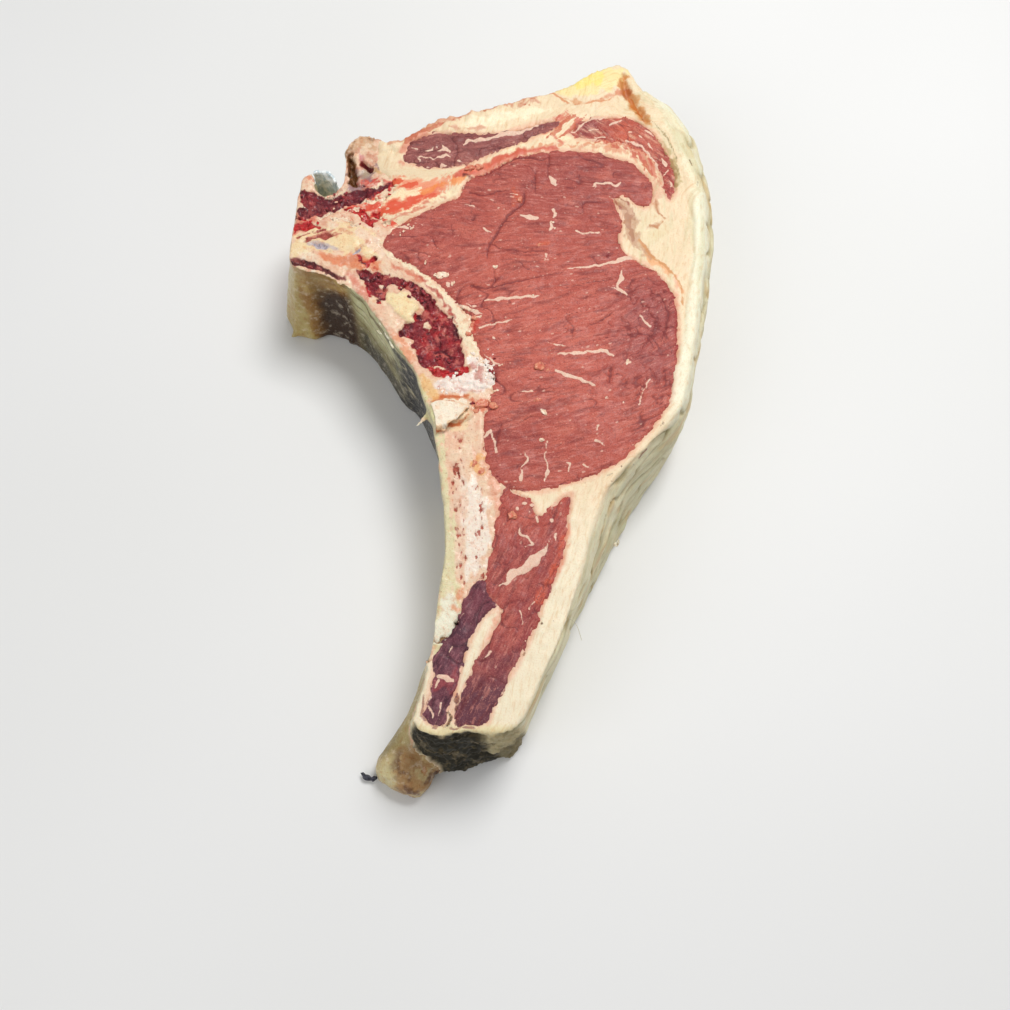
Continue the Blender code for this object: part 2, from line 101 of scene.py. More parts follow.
def rough_noise(places, grain, octaves=3, seed=0):
    """Noise with finer and finer grain added, from about -1 to 1."""
    total, weight = 0, 0
    for octave in range(octaves):
        share = 0.55**octave
        total = total + share * lattice_noise(places, grain / 2.1**octave, seed + octave)
        weight += share
    return total / weight * 1.5


def streaks(flow, length, width, seed=0, octaves=2):
    """Noise drawn out along the flow, whose columns are mm along and across the fibres."""
    return rough_noise(flow[:, :2] / (length, width), 1.0, octaves, seed)


def ridges(flow, length, width, seed=0):
    """1 on wandering lines along the flow, falling to 0 beside them."""
    return 1 - np.abs(lattice_noise(flow[:, :2] / (length, width), 1.0, seed)) * 2


def ease_in(values, low, high):
    """0 below low, 1 above high and smooth between."""
    share = np.clip((values - low) / (high - low), 0, 1)
    return share * share * (3 - 2 * share)


def spot(places, x, y, radius):
    """1 at a place, falling to 0 about a radius away."""
    return np.exp(-((places[:, 0] - x) ** 2 + (places[:, 1] - y) ** 2) / radius**2)


def straight_flow(places, angle):
    """Flow with its fibres along one angle in degrees."""
    turn = math.radians(angle)
    along = places[:, 0] * math.cos(turn) + places[:, 1] * math.sin(turn)
    across = places[:, 1] * math.cos(turn) - places[:, 0] * math.sin(turn)
    bend = 1.5 * lattice_noise(places[:, :2], 14.0, 3)
    return np.stack([along, across + bend, places[:, 2]], axis=1)


def brush(places, strokes, reach=4.0, warp=0.35, seed=5):
    """How deep each place lies inside the strokes, in mm: above 0 on them, down to -reach off them."""
    plan = places[:, :2] + warp * np.stack(
        [lattice_noise(places[:, :2], 1.7, seed), lattice_noise(places[:, :2], 1.7, seed + 1)], axis=1
    )
    depth = np.full(len(places), -reach)
    for stroke in strokes:
        path = np.array(stroke, float)
        if len(path) == 1:
            path = np.vstack([path, path + (0.01, 0, 0)])
        pad = reach + path[:, 2].max()
        near = ((plan > path[:, :2].min(axis=0) - pad) & (plan < path[:, :2].max(axis=0) + pad)).all(axis=1)
        here = plan[near]
        for start, end in itertools.pairwise(path):
            step = end[:2] - start[:2]
            share = np.clip((here - start[:2]) @ step / max(step @ step, 1e-9), 0, 1)
            width = start[2] + (end[2] - start[2]) * share
            gap = np.linalg.norm(here - start[:2] - share[:, None] * step, axis=1)
            depth[near] = np.maximum(depth[near], width / 2 - gap)
    return depth


# Mesh work

def only(body):
    """Selects this object alone and makes it the active one."""
    bpy.ops.object.select_all(action="DESELECT")
    body.select_set(True)
    bpy.context.view_layer.objects.active = body


def numbers(items, key, size):
    """A property of many items, as rows."""
    flat = np.empty(len(items) * size)
    items.foreach_get(key, flat)
    return flat.reshape(-1, size)


def places_of(body):
    """The plan places of its points, in mm."""
    return numbers(body.data.vertices, "co", 3) / MM - SHIFT


def normals_of(body):
    """The normals at its points."""
    return numbers(body.data.vertex_normals, "vector", 3)


def move_to(body, places):
    """Puts its points at these plan places."""
    body.data.vertices.foreach_set("co", ((places + SHIFT) * MM).ravel())
    body.data.update()


def on_faces(body, chosen, work):
    """Does some work in edit mode on the faces whose points are all chosen."""
    only(body)
    bpy.ops.object.mode_set(mode="EDIT")
    bpy.ops.mesh.select_mode(type="FACE")
    bpy.ops.mesh.select_all(action="DESELECT")
    bpy.ops.object.mode_set(mode="OBJECT")
    corners = np.empty(len(body.data.loops), np.int32)
    body.data.loops.foreach_get("vertex_index", corners)
    starts = np.empty(len(body.data.polygons), np.int32)
    body.data.polygons.foreach_get("loop_start", starts)
    faces = np.minimum.reduceat(chosen[corners].astype(np.int8), starts).astype(bool)
    body.data.polygons.foreach_set("select", faces)
    bpy.ops.object.mode_set(mode="EDIT")
    work()
    bpy.ops.object.mode_set(mode="OBJECT")


def tree_of(nodes):
    """A search tree over the faces of these CAD nodes."""
    corners, faces = [], []
    for node in nodes:
        mesh = frame["nodes"][node].data
        first = len(corners)
        corners += [vertex.co.copy() for vertex in mesh.vertices]
        faces += [tuple(first + i for i in face.vertices) for face in mesh.polygons]
    return BVHTree.FromPolygons(corners, faces)


TREES = {
    "lean": tree_of(LEAN_NODES),
    "fat": tree_of(("fat",)),
    "bone": tree_of(BONE_NODES),
    "all": tree_of(frame["nodes"]),
}


def distance_to(tree, places, most=12.0):
    """Distance in mm from each plan place to the nearest surface of a tree."""
    found = (tree.find_nearest(Vector(place), most * MM) for place in (places + SHIFT) * MM)
    return np.array([most if hit[3] is None else hit[3] / MM for hit in found])


def cut_height(places):
    """Height of the cut face at each place, bridging the narrow gaps between the pieces."""
    tree, down = TREES["all"], Vector((0, 0, -1))
    heights = []
    for x, y, _ in (places + SHIFT) * MM:
        hit = tree.ray_cast(Vector((x, y, RAY_START * MM)), down)[0]
        if hit is None or hit.z < CUT_ZONE * MM:
            hit = tree.find_nearest(Vector((x, y, CUT_FACE * MM)))[0]
        heights.append(hit.z / MM)
    return np.array(heights)


def even_skin(node, name, voxel, lift=0.0, overlap=0.9, fine_walls=None):
    """A copy of a CAD node with an even skin, fine on the cut face and where fine_walls says so.

    Its seams reach into the neighbours, and its rim wanders above and below theirs by a shared
    noise, times lift, so that the border between two pieces is ragged and has no groove.
    """
    only(frame["nodes"][node])
    bpy.ops.object.duplicate()
    body = bpy.context.active_object
    body.name = body.data.name = name
    bpy.ops.object.parent_clear(type="CLEAR_KEEP_TRANSFORM")
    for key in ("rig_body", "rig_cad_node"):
        if key in body:
            del body[key]
    body.data.materials.clear()
    bpy.ops.object.mode_set(mode="EDIT")
    bpy.ops.mesh.select_all(action="SELECT")
    bpy.ops.mesh.remove_doubles(threshold=0.00001)
    bpy.ops.object.mode_set(mode="OBJECT")
    remesh = body.modifiers.new("Even skin", "REMESH")
    remesh.mode = "VOXEL"
    remesh.voxel_size = voxel * MM
    bpy.ops.object.modifier_apply(modifier=remesh.name)
    others = tree_of([other for other in frame["nodes"] if other != node])
    places, normals = places_of(body), normals_of(body)
    nearby = 3.0
    gap = distance_to(others, places, nearby)
    seam = (gap < 1.3) & (places[:, 2] > 0.5)
    push = overlap * seam * ease_in(-np.abs(normals[:, 2]), -0.95, -0.6)
    places[:, :2] += normals[:, :2] * push[:, None]
    rim = (gap < 1.8) & (places[:, 2] > CUT_ZONE) & (normals[:, 2] > 0.25)
    level = cut_height(places[rim]) - 0.45 * push[rim]
    places[rim, 2] = level
    move_to(body, places)
    hidden = seam & (np.abs(normals[:, 2]) < 0.8) & (places[:, 2] < CUT_ZONE - 0.5)
    on_faces(body, hidden, lambda: bpy.ops.mesh.decimate(ratio=0.12))
    places, normals = places_of(body), normals_of(body)
    fine = (places[:, 2] > CUT_ZONE - 1) & (normals[:, 2] > -0.2)
    if fine_walls:
        fine |= fine_walls(places) & (distance_to(others, places, nearby) > 1.5) & (places[:, 2] > 1.5)
    on_faces(body, fine, lambda: bpy.ops.mesh.subdivide(number_cuts=1))
    places = places_of(body)
    border = 1 - ease_in(distance_to(others, places, nearby), 0.9, 2.6)
    ragged = 0.6 * lattice_noise(places[:, :2], 3.1, 21) + 0.4 * lattice_noise(places[:, :2], 1.3, 22)
    places[:, 2] += lift * border * ragged * (places[:, 2] > CUT_ZONE)
    move_to(body, places)
    body.data.shade_smooth()
    return body


def cut_relief(places):
    """Slow rise and fall that all pieces share on the cut face, in mm."""
    return 0.28 * rough_noise(places[:, :2], 9.0, 3, 4)


def raise_skin(body, places, height):
    """Moves each point out along its normal by a height in mm, but not below the ground."""
    raised = places + normals_of(body) * height[:, None]
    raised[:, 2] = np.maximum(raised[:, 2], 0.0)
    move_to(body, raised)


def settle(body, slot, finish, *nodes):
    """Gives a finished piece its finish and body, and hides the CAD nodes it replaces. The slot is not
    used.
    """
    body.data.materials.clear()
    body.data.materials.append(finish)
    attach(body, BODY)
    if nodes:
        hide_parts(*nodes)


class Coat:
    """Colours of a piece, kept point by point: soft washes below, and crisp marks above them."""

    def __init__(self, body, places, tone, flow=None):
        self.body, self.places = body, places
        self.face = ease_in(places[:, 2], 40.0, 43.0) * ease_in(normals_of(body)[:, 2], -0.1, 0.35)
        self.flow = straight_flow(places, 0) if flow is None else flow
        self.under = np.tile(np.array(tone, float), (len(places), 1))
        self.over = self.under.copy()
        self.depth = np.full(len(places), OFF)
        self.crease = np.zeros(len(places))

    def blend(self, share, tone):
        """Mixes a tone in where share is above 0."""
        share = np.clip(share, 0, 1)[:, None]
        self.under += share * (np.array(tone, float) - self.under)

    def patches(self, share, tone, noise, low, high):
        """Mixes a tone in where a rough noise, as (grain, octaves, seed), passes from low to high."""
        self.blend(share * ease_in(rough_noise(self.places, *noise), low, high), tone)

    def strands(self, share, tone, noise, low, high):
        """Mixes a tone in along the flow, with noise as (length, width, seed)."""
        self.blend(share * ease_in(streaks(self.flow, *noise), low, high), tone)

    def torn(self, strokes, jag, drawn, seed, warp):
        """Depth inside strokes that a noise tears, which may be drawn out along the flow."""
        if drawn is None:
            noise = rough_noise(self.places, 3.0, 4, seed)
        else:
            noise = streaks(self.flow, *drawn, seed, 3)
        return brush(self.places, strokes, warp=warp) + jag * noise

    def wash(self, strokes, tone, soft=1.0, strength=0.8, drawn=None):
        """Thin colour on the cut face, with torn edges."""
        depth = self.torn(strokes, 0.4 + soft, drawn, sum(tone) % SEEDS, 0.9)
        edge = 0.2 + 0.3 * soft
        self.blend(self.face * strength * ease_in(depth, -edge, edge), tone)

    def mark(self, strokes, tone, jag=0.0, drawn=None):
        """Crisp strokes on the cut face, torn by jag in mm."""
        depth = self.torn(strokes, jag, drawn, sum(tone) % SEEDS, 0.4 + 0.5 * min(jag, 1.0))
        self.mark_where(depth + OFF * (1 - self.face), tone)

    def mark_where(self, depth, tone):
        """A crisp mark where depth, in mm, is above 0."""
        first = depth > self.depth
        self.over[first] = tone
        self.depth[first] = depth[first]

    def keep(self):
        """Writes the colours, depth, crease and flow to the mesh."""
        for name, values in (("under", self.under), ("over", self.over)):
            share = np.clip(values, 0, 255) / 255
            linear = np.where(share <= 0.04045, share / 12.92, ((share + 0.055) / 1.055) ** 2.4)
            layer = self.body.data.attributes.new(name, "FLOAT_COLOR", "POINT")
            colours = np.hstack([linear, np.ones((len(linear), 1))]).astype(np.float32)
            layer.data.foreach_set("color", colours.ravel())
        for name, values in (("depth", self.depth), ("crease", np.clip(self.crease, 0, 1))):
            layer = self.body.data.attributes.new(name, "FLOAT", "POINT")
            layer.data.foreach_set("value", values.astype(np.float32))
        layer = self.body.data.attributes.new("flow", "FLOAT_VECTOR", "POINT")
        layer.data.foreach_set("vector", self.flow.astype(np.float32).ravel())


# Finishes

def tint(red, green, blue):
    """A colour as seen on a screen, 0 to 255, in the linear values that a shader takes."""
    return tuple((c / 12.92 if c <= 0.04045 else ((c + 0.055) / 1.055) ** 2.4)
                 for c in (red / 255, green / 255, blue / 255)) + (1.0,)


class Finish:
    """A material put together node by node, in the object's own coordinates."""

    def __init__(self, name, roughness, **sockets):
        self.material = bpy.data.materials.new(name)
        self.material.use_nodes = True
        self.tree = self.material.node_tree
        self.shader = self.tree.nodes["Principled BSDF"]
        self.shader.inputs["Roughness"].default_value = roughness
        for socket, value in sockets.items():
            self.shader.inputs[socket.replace("_", " ")].default_value = value
        self.place = self.add("ShaderNodeTexCoord").outputs["Object"]
        self.colour = None

    def add(self, kind, inputs=(), **settings):
        """Adds a node, with its settings and the values or links of its sockets."""
        node = self.tree.nodes.new(kind)
        for key, value in settings.items():
            setattr(node, key, value)
        for socket, value in inputs:
            self.feed(node.inputs[socket], value)
        return node

    def feed(self, socket, value):
        """Sets or links a socket."""
        if isinstance(value, bpy.types.NodeSocket):
            self.tree.links.new(value, socket)
        else:
            socket.default_value = value

    def painted(self, name, output="Fac"):
        """A value painted on the points."""
        return self.add("ShaderNodeAttribute", attribute_name=name).outputs[output]

    def stretched(self, place, sizes):
        """A place divided by three sizes."""
        scale = tuple(1 / size for size in sizes)
        return self.add("ShaderNodeMapping", [(0, place), (3, scale)]).outputs[0]

    def noise(self, grain, detail=3.0, rough=0.55, twist=0.0):
        """Noise from 0 to 1 with a grain in mm."""
        return self.add("ShaderNodeTexNoise", [
            ("Vector", self.place), ("Scale", 1000 / grain), ("Detail", detail), ("Roughness", rough),
            ("Distortion", twist)]).outputs[0]

    def fibres(self, length, width, detail=3.0, rough=0.55):
        """Noise from 0 to 1, drawn out along the painted flow."""
        place = self.stretched(self.painted("flow", "Vector"), (length, width, 2 * width))
        return self.add("ShaderNodeTexNoise", [
            ("Vector", place), ("Scale", 1.0), ("Detail", detail), ("Roughness", rough)]).outputs[0]

    def flecks(self, size, share, smallest, largest, length=1.6):
        """1 on small flecks in a share of the cells of this size in mm, drawn out along the flow."""
        place = self.stretched(self.painted("flow", "Vector"), (size * length, size, size))
        cells = self.add("ShaderNodeTexVoronoi", [("Vector", place), ("Scale", 1.0)])
        pick = self.add("ShaderNodeSeparateColor", [(0, cells.outputs["Color"])])
        radius = self.step(pick.outputs[0], 1 - share, 1.0)
        radius = self.times(radius, (largest - smallest) / size)
        least = self.step(pick.outputs[0], 1 - share - 0.001, 1 - share, 0.0, smallest / size)
        radius = self.sum(radius, least)
        uneven = self.times(self.sum(self.noise(size * 0.35, 2), 0.5, "SUBTRACT"), 0.35)
        gap = self.sum(self.sum(cells.outputs["Distance"], uneven), radius, "SUBTRACT")
        return self.step(gap, 0.04, -0.04)

    def sum(self, first, second, use="ADD"):
        """Two values added, or put together in another way."""
        return self.add("ShaderNodeMath", [(0, first), (1, second)], operation=use).outputs[0]

    def times(self, first, second):
        """Two values multiplied."""
        return self.sum(first, second, "MULTIPLY")

    def blended(self, first, first_share, second, second_share):
        """Two values, each times its share, added."""
        return self.sum(self.times(first, first_share), self.times(second, second_share))

    def step(self, value, low, high, bottom=0.0, top=1.0):
        """From bottom to top, smoothly, as a value passes from low to high."""
        return self.add("ShaderNodeMapRange", [
            (0, value), (1, low), (2, high), (3, bottom), (4, top)],
            interpolation_type="SMOOTHSTEP").outputs[0]

    def mix(self, share, first, second, use="MIX"):
        """Two colours mixed by a share."""
        node = self.add("ShaderNodeMix", data_type="RGBA", blend_type=use)
        for place, value in ((0, share), (6, first), (7, second)):
            self.feed(node.inputs[place], value)
        return node.outputs[2]

    def tone(self, tone, value, low, high, most=1.0):
        """Lays a tone over the colour as a value passes from low to high."""
        self.colour = self.mix(self.step(value, low, high, 0.0, most), self.colour, tone)

    def lay(self, tone, share):
        """Lays a tone over the colour by a share."""
        self.colour = self.mix(share, self.colour, tone)

    def shaded(self, colour, red, green, blue):
        """A colour darkened by another."""
        return self.mix(1.0, colour, tint(red, green, blue), "MULTIPLY")

    def mottled(self, grain, first, second):
        """Two tones in patches of a grain in mm."""
        share = self.step(self.noise(grain, 4, 0.65), 0.38, 0.62)
        return self.mix(share, tint(*first), tint(*second))

    def marks(self, noise, jag=0.5, soft=0.12):
        """1 inside the painted marks, with an edge made uneven by a noise."""
        shifted = self.times(self.sum(noise, 0.5, "SUBTRACT"), 2 * jag)
        return self.step(self.sum(self.painted("depth"), shifted), -soft, soft)

    def finish(self, colour, bump=None, strength=0.5, height=0.3, rough=None):
        """Links colour, bump height and roughness to the shader."""
        self.feed(self.shader.inputs["Base Color"], colour)
        if bump is not None:
            node = self.add("ShaderNodeBump", [
                ("Height", bump), ("Strength", strength), ("Distance", height * MM)])
            self.feed(self.shader.inputs["Normal"], node.outputs[0])
        if rough is not None:
            self.feed(self.shader.inputs["Roughness"], rough)
        return self.material


MOIST = {"Subsurface_Weight": 0.08, "Subsurface_Radius": (1.0, 0.3, 0.2), "Subsurface_Scale": 0.001,
         "IOR": 1.33, "Coat_Weight": 0.05, "Coat_Roughness": 0.14}
WET = {"Subsurface_Weight": 0.1, "Subsurface_Radius": (1.0, 0.6, 0.4), "Subsurface_Scale": 0.0012,
       "IOR": 1.36, "Coat_Weight": 0.18, "Coat_Roughness": 0.12}
WAXY = {"Subsurface_Weight": 0.14, "Subsurface_Radius": (1.0, 0.75, 0.5), "Subsurface_Scale": 0.0016,
        "IOR": 1.36, "Coat_Weight": 0.04, "Coat_Roughness": 0.3}


def lean_finish(name, deep, pale, length=4.0, width=0.8, flecks=0.5):
    """Raw lean: the painted reds broken up along the fibres, creases darkened with painted shade, and
    flecks that are partly cream fat and partly painted glints.
    """
    made = Finish(name, 0.42, **MOIST)
    fine = made.noise(0.45, 4, 0.65)
    patch = made.noise(3.2, 4, 0.6)
    fibre = made.fibres(length, width, 4, 0.6)
    thick = made.fibres(length * 2.5, width * 2.6, 3, 0.55)
    made.colour = made.painted("under", "Color")
    made.tone(pale, fibre, 0.5, 0.7, 0.55)
    made.tone(deep, thick, 0.52, 0.3, 0.55)
    made.tone(deep, fine, 0.5, 0.3, 0.65)
    made.tone(pale, fine, 0.52, 0.7, 0.4)
    made.tone(pale, patch, 0.55, 0.8, 0.3)
    # Painted shade in the creases: the crease mask darkens the lean here, over the relief carved into them.
    crease = made.times(made.painted("crease"), made.step(fibre, 0.2, 0.8, 0.7, 1.2))
    made.tone(deep, crease, 0.12, 0.95, 0.8)
    # Pale flecks: partly cream fat, partly painted glints that stand in for wet highlights.
    made.lay(tint(232, 188, 168), made.times(made.flecks(2.6, 0.5, 0.12, 0.42), 0.75 * flecks))
    made.lay(tint(224, 170, 152), made.times(made.flecks(1.1, 0.35, 0.08, 0.22), 0.6 * flecks))
    over = made.painted("over", "Color")
    cream = made.mix(made.step(fine, 0.3, 0.7, 0.0, 0.5), over, tint(214, 150, 130))
    made.lay(cream, made.marks(made.noise(0.7, 3), 0.3, 0.12))
    gloss = made.step(made.noise(1.8, 3), 0.35, 0.65, 0.3, 0.52)
    return made.finish(made.colour, made.blended(fibre, 0.6, fine, 0.55), 0.9, 0.5, gloss)


def fat_finish(name="beef_fat"):
    """Beef fat: painted creams with soft fine streaks, crisp red and brown marks and a satin surface."""
    made = Finish(name, 0.45, **WAXY)
    fine = made.noise(0.6, 4, 0.65)
    broad = made.noise(4.0, 4, 0.6)
    fibre = made.fibres(5.0, 0.9, 4, 0.6)
    crease = made.painted("crease")
    made.colour = made.painted("under", "Color")
    made.tone(tint(250, 236, 206), broad, 0.5, 0.75, 0.3)
    warm = made.shaded(made.colour, 232, 196, 160)
    made.tone(warm, fibre, 0.52, 0.3, 0.4)
    made.tone(warm, fine, 0.5, 0.28, 0.4)
    # Painted shade in the rind's furrows, where the crease mask is high; on the tail's crust it also
    # darkens the dry crust.
    furrow_shade_and_dark_crust = made.shaded(made.colour, 178, 158, 116)
    made.lay(furrow_shade_and_dark_crust, made.times(crease, made.step(fibre, 0.25, 0.75, 0.5, 1.1)))
    inside = made.marks(made.noise(1.0, 4, 0.65), 0.45, 0.25)
    made.lay(made.mix(made.step(fine, 0.35, 0.65, 0.0, 0.5), made.painted("over", "Color"), warm), inside)
    dull = made.sum(made.step(broad, 0.3, 0.7, 0.36, 0.55), made.times(crease, 0.35))
    return made.finish(made.colour, made.blended(fibre, 0.5, fine, 0.5), 0.6, 0.4, dull)


def bone_finish(name):
    """Sawn bone: painted pinks and creams, dotted with pores, and wet crumbly marrow in the marks."""
    made = Finish(name, 0.42, **WET)
    fine = made.noise(0.6, 4, 0.65)
    broad = made.noise(2.6, 4, 0.65)
    clots = made.noise(1.4, 5, 0.7, 0.6)
    made.colour = made.painted("under", "Color")
    made.tone(tint(248, 234, 210), broad, 0.5, 0.72, 0.4)
    rosy = made.shaded(made.colour, 236, 184, 156)
    made.tone(rosy, broad, 0.48, 0.28, 0.5)
    made.tone(rosy, fine, 0.48, 0.27, 0.6)
    dirty = made.shaded(made.colour, 178, 132, 104)
    made.tone(dirty, made.noise(1.1, 4, 0.7), 0.6, 0.72, 0.6)
    pores = made.times(made.flecks(1.3, 0.8, 0.1, 0.36, 2.2), made.painted("crease"))
    made.lay(tint(166, 74, 58), made.times(pores, 0.85))
    wet = made.painted("over", "Color")
    clot = made.shaded(wet, 150, 116, 120)
    tone = made.mix(made.step(clots, 0.5, 0.34, 0.0, 0.8), wet, clot)
    tone = made.mix(made.step(clots, 0.54, 0.7, 0.0, 0.65), tone, tint(216, 134, 118))
    made.lay(tone, made.marks(made.noise(1.3, 4, 0.7), 0.8, 0.22))
    gloss = made.step(clots, 0.35, 0.65, 0.26, 0.52)
    return made.finish(made.colour, made.blended(clots, 0.7, fine, 0.6), 0.85, 0.7, gloss)


# Marbling and creases of the lean, as strokes, and washes of the eye

CREAM = (238, 208, 184)
EYE_MARBLING = (
    ((-10.5, 244.3, 0.5), (-5, 244.6, 1.1), (2, 245.4, 1.2), (8, 246, 0.9), (10.5, 246.4, 0.3)),
    ((18, 221.6, 0.5), (23, 221.8, 1.1), (30, 223, 1), (36, 223.2, 1.6), (39, 221, 0.5)),
    ((13, 226.6, 0.3), (17, 225.6, 0.9), (20.5, 224.5, 0.5)),
    ((16.8, 215.3, 0.6), (21, 213, 1.6), (26, 211.4, 1.3), (31.5, 208.6, 0.8)),
    ((42.4, 257.6, 0.6), (42.5, 254.5, 1.9), (41, 251, 0.9), (41.5, 249.5, 1.6), (44.3, 247.4, 0.5)),
    ((41, 250, 1), (38, 250, 0.4)),
    ((31.5, 295.8, 0.4), (34, 297.6, 0.9), (37.5, 298.2, 0.7), (41, 296.6, 0.9), (43.6, 298, 0.4)),
    ((33.8, 297.5, 0.7), (32.6, 294.8, 0.4)), ((14.8, 300, 0.8), (16.6, 298, 2.1), (17.4, 296.2, 0.8)),
    ((3.6, 282, 1.2), (6.4, 281.2, 2), (10, 280.2, 1.4)),
    ((16, 285, 1.3), (17.4, 283.4, 0.9), (16.6, 281, 0.8)),
    ((15.4, 279, 0.5), (16, 276.6, 1.3), (14.4, 275, 0.6)),
    ((25.4, 275.2, 0.5), (28, 274, 0.8), (34.5, 275, 0.4)), ((13.7, 264.6, 1), (12.6, 261.6, 0.4)),
    ((46, 264.6, 2.6), (40.4, 261.6, 1.2), (36, 260.4, 0.8), (31.6, 259.8, 1), (26, 258.8, 0.5),
     (17, 257.6, 0.2)),
    ((-6.3, 259, 1.4),), ((-24.5, 251, 1.7),), ((12, 187.2, 1.6),), ((44.5, 218.3, 1.5),),
    ((-11.6, 232.6, 0.5), (-6, 234.2, 0.7), (0.5, 235.8, 0.3)),
    ((49.8, 238.2, 0.5), (51.4, 236, 0.7), (53, 233.8, 0.4)),
    ((6.2, 182.6, 0.4), (6.6, 179.5, 0.8), (4.8, 176.6, 0.6), (4.2, 171.5, 1)),
    ((14, 187, 0.2), (13.2, 181, 0.5), (14.4, 176, 0.6), (13, 171.5, 0.4)),
    ((20.8, 178.6, 0.5), (22.4, 178.2, 0.9), (21.4, 175.6, 0.4)), ((31.8, 187, 0.9), (35.2, 185.3, 0.3)),
    ((27, 178, 0.8), (29, 176.8, 0.4)), ((32.5, 193, 0.9), (31.8, 191, 0.4)), ((-5.6, 285.5, 1),),
    ((-11, 276, 0.8), (-8, 274, 0.4)), ((-19, 287.5, 0.3), (-15.5, 286, 0.6)), ((36, 204, 0.8),),
    ((42, 202.6, 0.9),), ((29, 205.5, 0.6),),
    ((-20, 242, 1.2), (-16, 240.4, 1.6), (-12, 238.6, 1), (-10.6, 238, 0.3)),
    ((-17, 242.5, 0.4), (-13.5, 241.6, 0.8)), ((2, 291.8, 0.9), (-1, 292, 0.4)), ((20, 241.5, 0.5),),
    ((30, 248, 0.4),), ((25, 232, 0.4),), ((5, 229, 0.5),), ((-6.5, 228, 1),),
    ((8.5, 206.4, 0.7), (3, 205.6, 0.3)), ((52, 211.5, 0.5), (47.6, 201.4, 0.8)),
    ((-45.5, 276.4, 0.4), (-43, 277, 0.9), (-41, 276.2, 0.5)), ((-47, 273.6, 0.7),),
    ((-34, 262.6, 0.4), (-33.4, 260.6, 0.5)), ((-44, 274.4, 0.6),),
    ((39, 291.4, 0.4), (41.6, 289.4, 1), (43, 286, 1.2), (42.4, 283, 0.8)),
    ((-9, 188, 0.5), (-7, 190.4, 1.2), (-5.6, 187, 0.7), (-4.4, 182, 0.5)),
    ((-10, 221, 0.4), (-6, 217.6, 1.1), (-3, 217, 0.5)),
)
EYE_CREASES = (
    ((5, 292.6, 1), (4.6, 288, 1.3), (2, 285, 1), (-1.5, 282, 1.3), (-4.2, 277.5, 1), (-7, 272, 1.1),
     (-9, 268.5, 1), (-9.6, 263, 0.4)),
    ((-9, 269.5, 0.8), (-4, 267, 0.6), (4, 265.8, 0.6), (13, 266.2, 0.3)),
    ((-15, 250.6, 1.2), (-9, 249.8, 0.9), (-2, 251.4, 0.9), (6, 253.6, 0.7), (16, 256, 0.3)),
    ((-7, 258, 0.3), (-6.2, 253.5, 0.8), (-7.4, 249.5, 0.4)),
    ((9.5, 304, 0.4), (8.8, 299, 0.7), (9.2, 292.5, 0.3)),
    ((15, 311, 0.6), (14.4, 305, 0.8), (14, 300, 0.3)),
    ((-17, 293, 1.1), (-12, 291, 0.7), (-5, 293.4, 0.6), (2, 294, 0.3)),
    ((-16, 300.6, 0.6), (-10, 301.6, 0.8), (-4, 306, 1), (0, 309, 1), (5, 309.6, 1.2), (12, 308.6, 0.8),
     (15, 310, 0.4)),
    ((-44, 265, 0.4), (-40, 267, 0.6), (-33, 264.8, 0.5), (-26, 262.5, 0.3)),
    ((-40, 272, 0.3), (-34, 270, 0.6), (-28, 270.5, 0.3)),
    ((36.8, 210, 0.6), (37.6, 214, 1.2), (38, 218, 0.3)),
    ((29, 233.6, 0.4), (35, 236, 0.7), (38.6, 239.6, 0.6)),
    ((20, 250, 0.3), (32, 252.6, 0.6), (41, 254.4, 0.3)),
    ((56.5, 227, 0.5), (59.4, 233, 0.9), (60.4, 240, 0.8), (58, 246, 0.4)),
    ((48, 222, 0.4), (53, 229, 0.8), (57, 231.6, 0.3)), ((43.6, 210, 1.2), (44, 211, 0.5)),
    ((46, 203, 0.4), (50, 208.6, 0.7), (51, 214, 0.3)),
    ((33.6, 278, 0.4), (39, 276.8, 0.6), (41.6, 278, 0.4)),
    ((-3, 193.4, 0.5), (-4.4, 188, 1.2), (-5, 183, 0.5)), ((2, 193, 0.3), (8, 196.4, 0.6), (14, 195, 0.3)),
    ((-8, 216, 0.8), (-7, 212, 0.5)), ((-36, 268, 0.3), (-37, 264, 0.6), (-35, 261, 0.3)),
)
EYE_WASHES = (
    ((((1, 293, 2), (3, 289, 3), (0.6, 286.6, 1.4)), ((10, 268.4, 0.8), (14, 269.6, 1.4))), (214, 110, 80),
     1, 0.7),
    ((((-17.4, 237, 2), (-13.6, 235.4, 3.6), (-14.6, 231.6, 2.4)),), (206, 70, 54), 0.9, 0.8),
    ((((37, 264.4, 1.6), (38.6, 265, 1.4)),), (120, 30, 34), 0.6, 0.8),
    ((((-10, 218, 2), (-5, 216, 2.4), (-6, 210, 1.6)),), (134, 44, 42), 1, 0.6),
)
TAIL_MARBLING = (
    ((0, 134.4, 1), (1.6, 136.8, 3.4), (6, 138.8, 3), (9.2, 141.6, 4), (13, 145.2, 1.6),
     (15.2, 149.6, 0.6)),
    ((-2.5, 132.4, 0.4), (1, 134.8, 1.2)), ((3, 161, 1.6),), ((16, 157, 2),), ((8, 153.4, 0.8),),
    ((4.4, 154, 0.3), (4.2, 151.4, 0.8), (7.6, 150, 0.6), (9.4, 148, 0.9), (6.2, 147, 0.3)),
    ((9.6, 158.6, 0.5), (10.8, 156.6, 1)), ((5.6, 163, 1),), ((8.6, 162.6, 1.2),),
    ((11, 160, 1), (10, 158, 0.4)), ((4, 124, 0.3), (5.8, 119.5, 0.7)), ((9.4, 127, 0.3), (8, 124, 0.6)),
    ((6.4, 165, 0.8),), ((7.4, 160.4, 0.6),), ((-8.5, 106, 0.5), (-5, 109.5, 0.9)), ((6.4, 113.4, 0.8),),
    ((16, 146, 0.3), (17.4, 152, 0.5)),
)
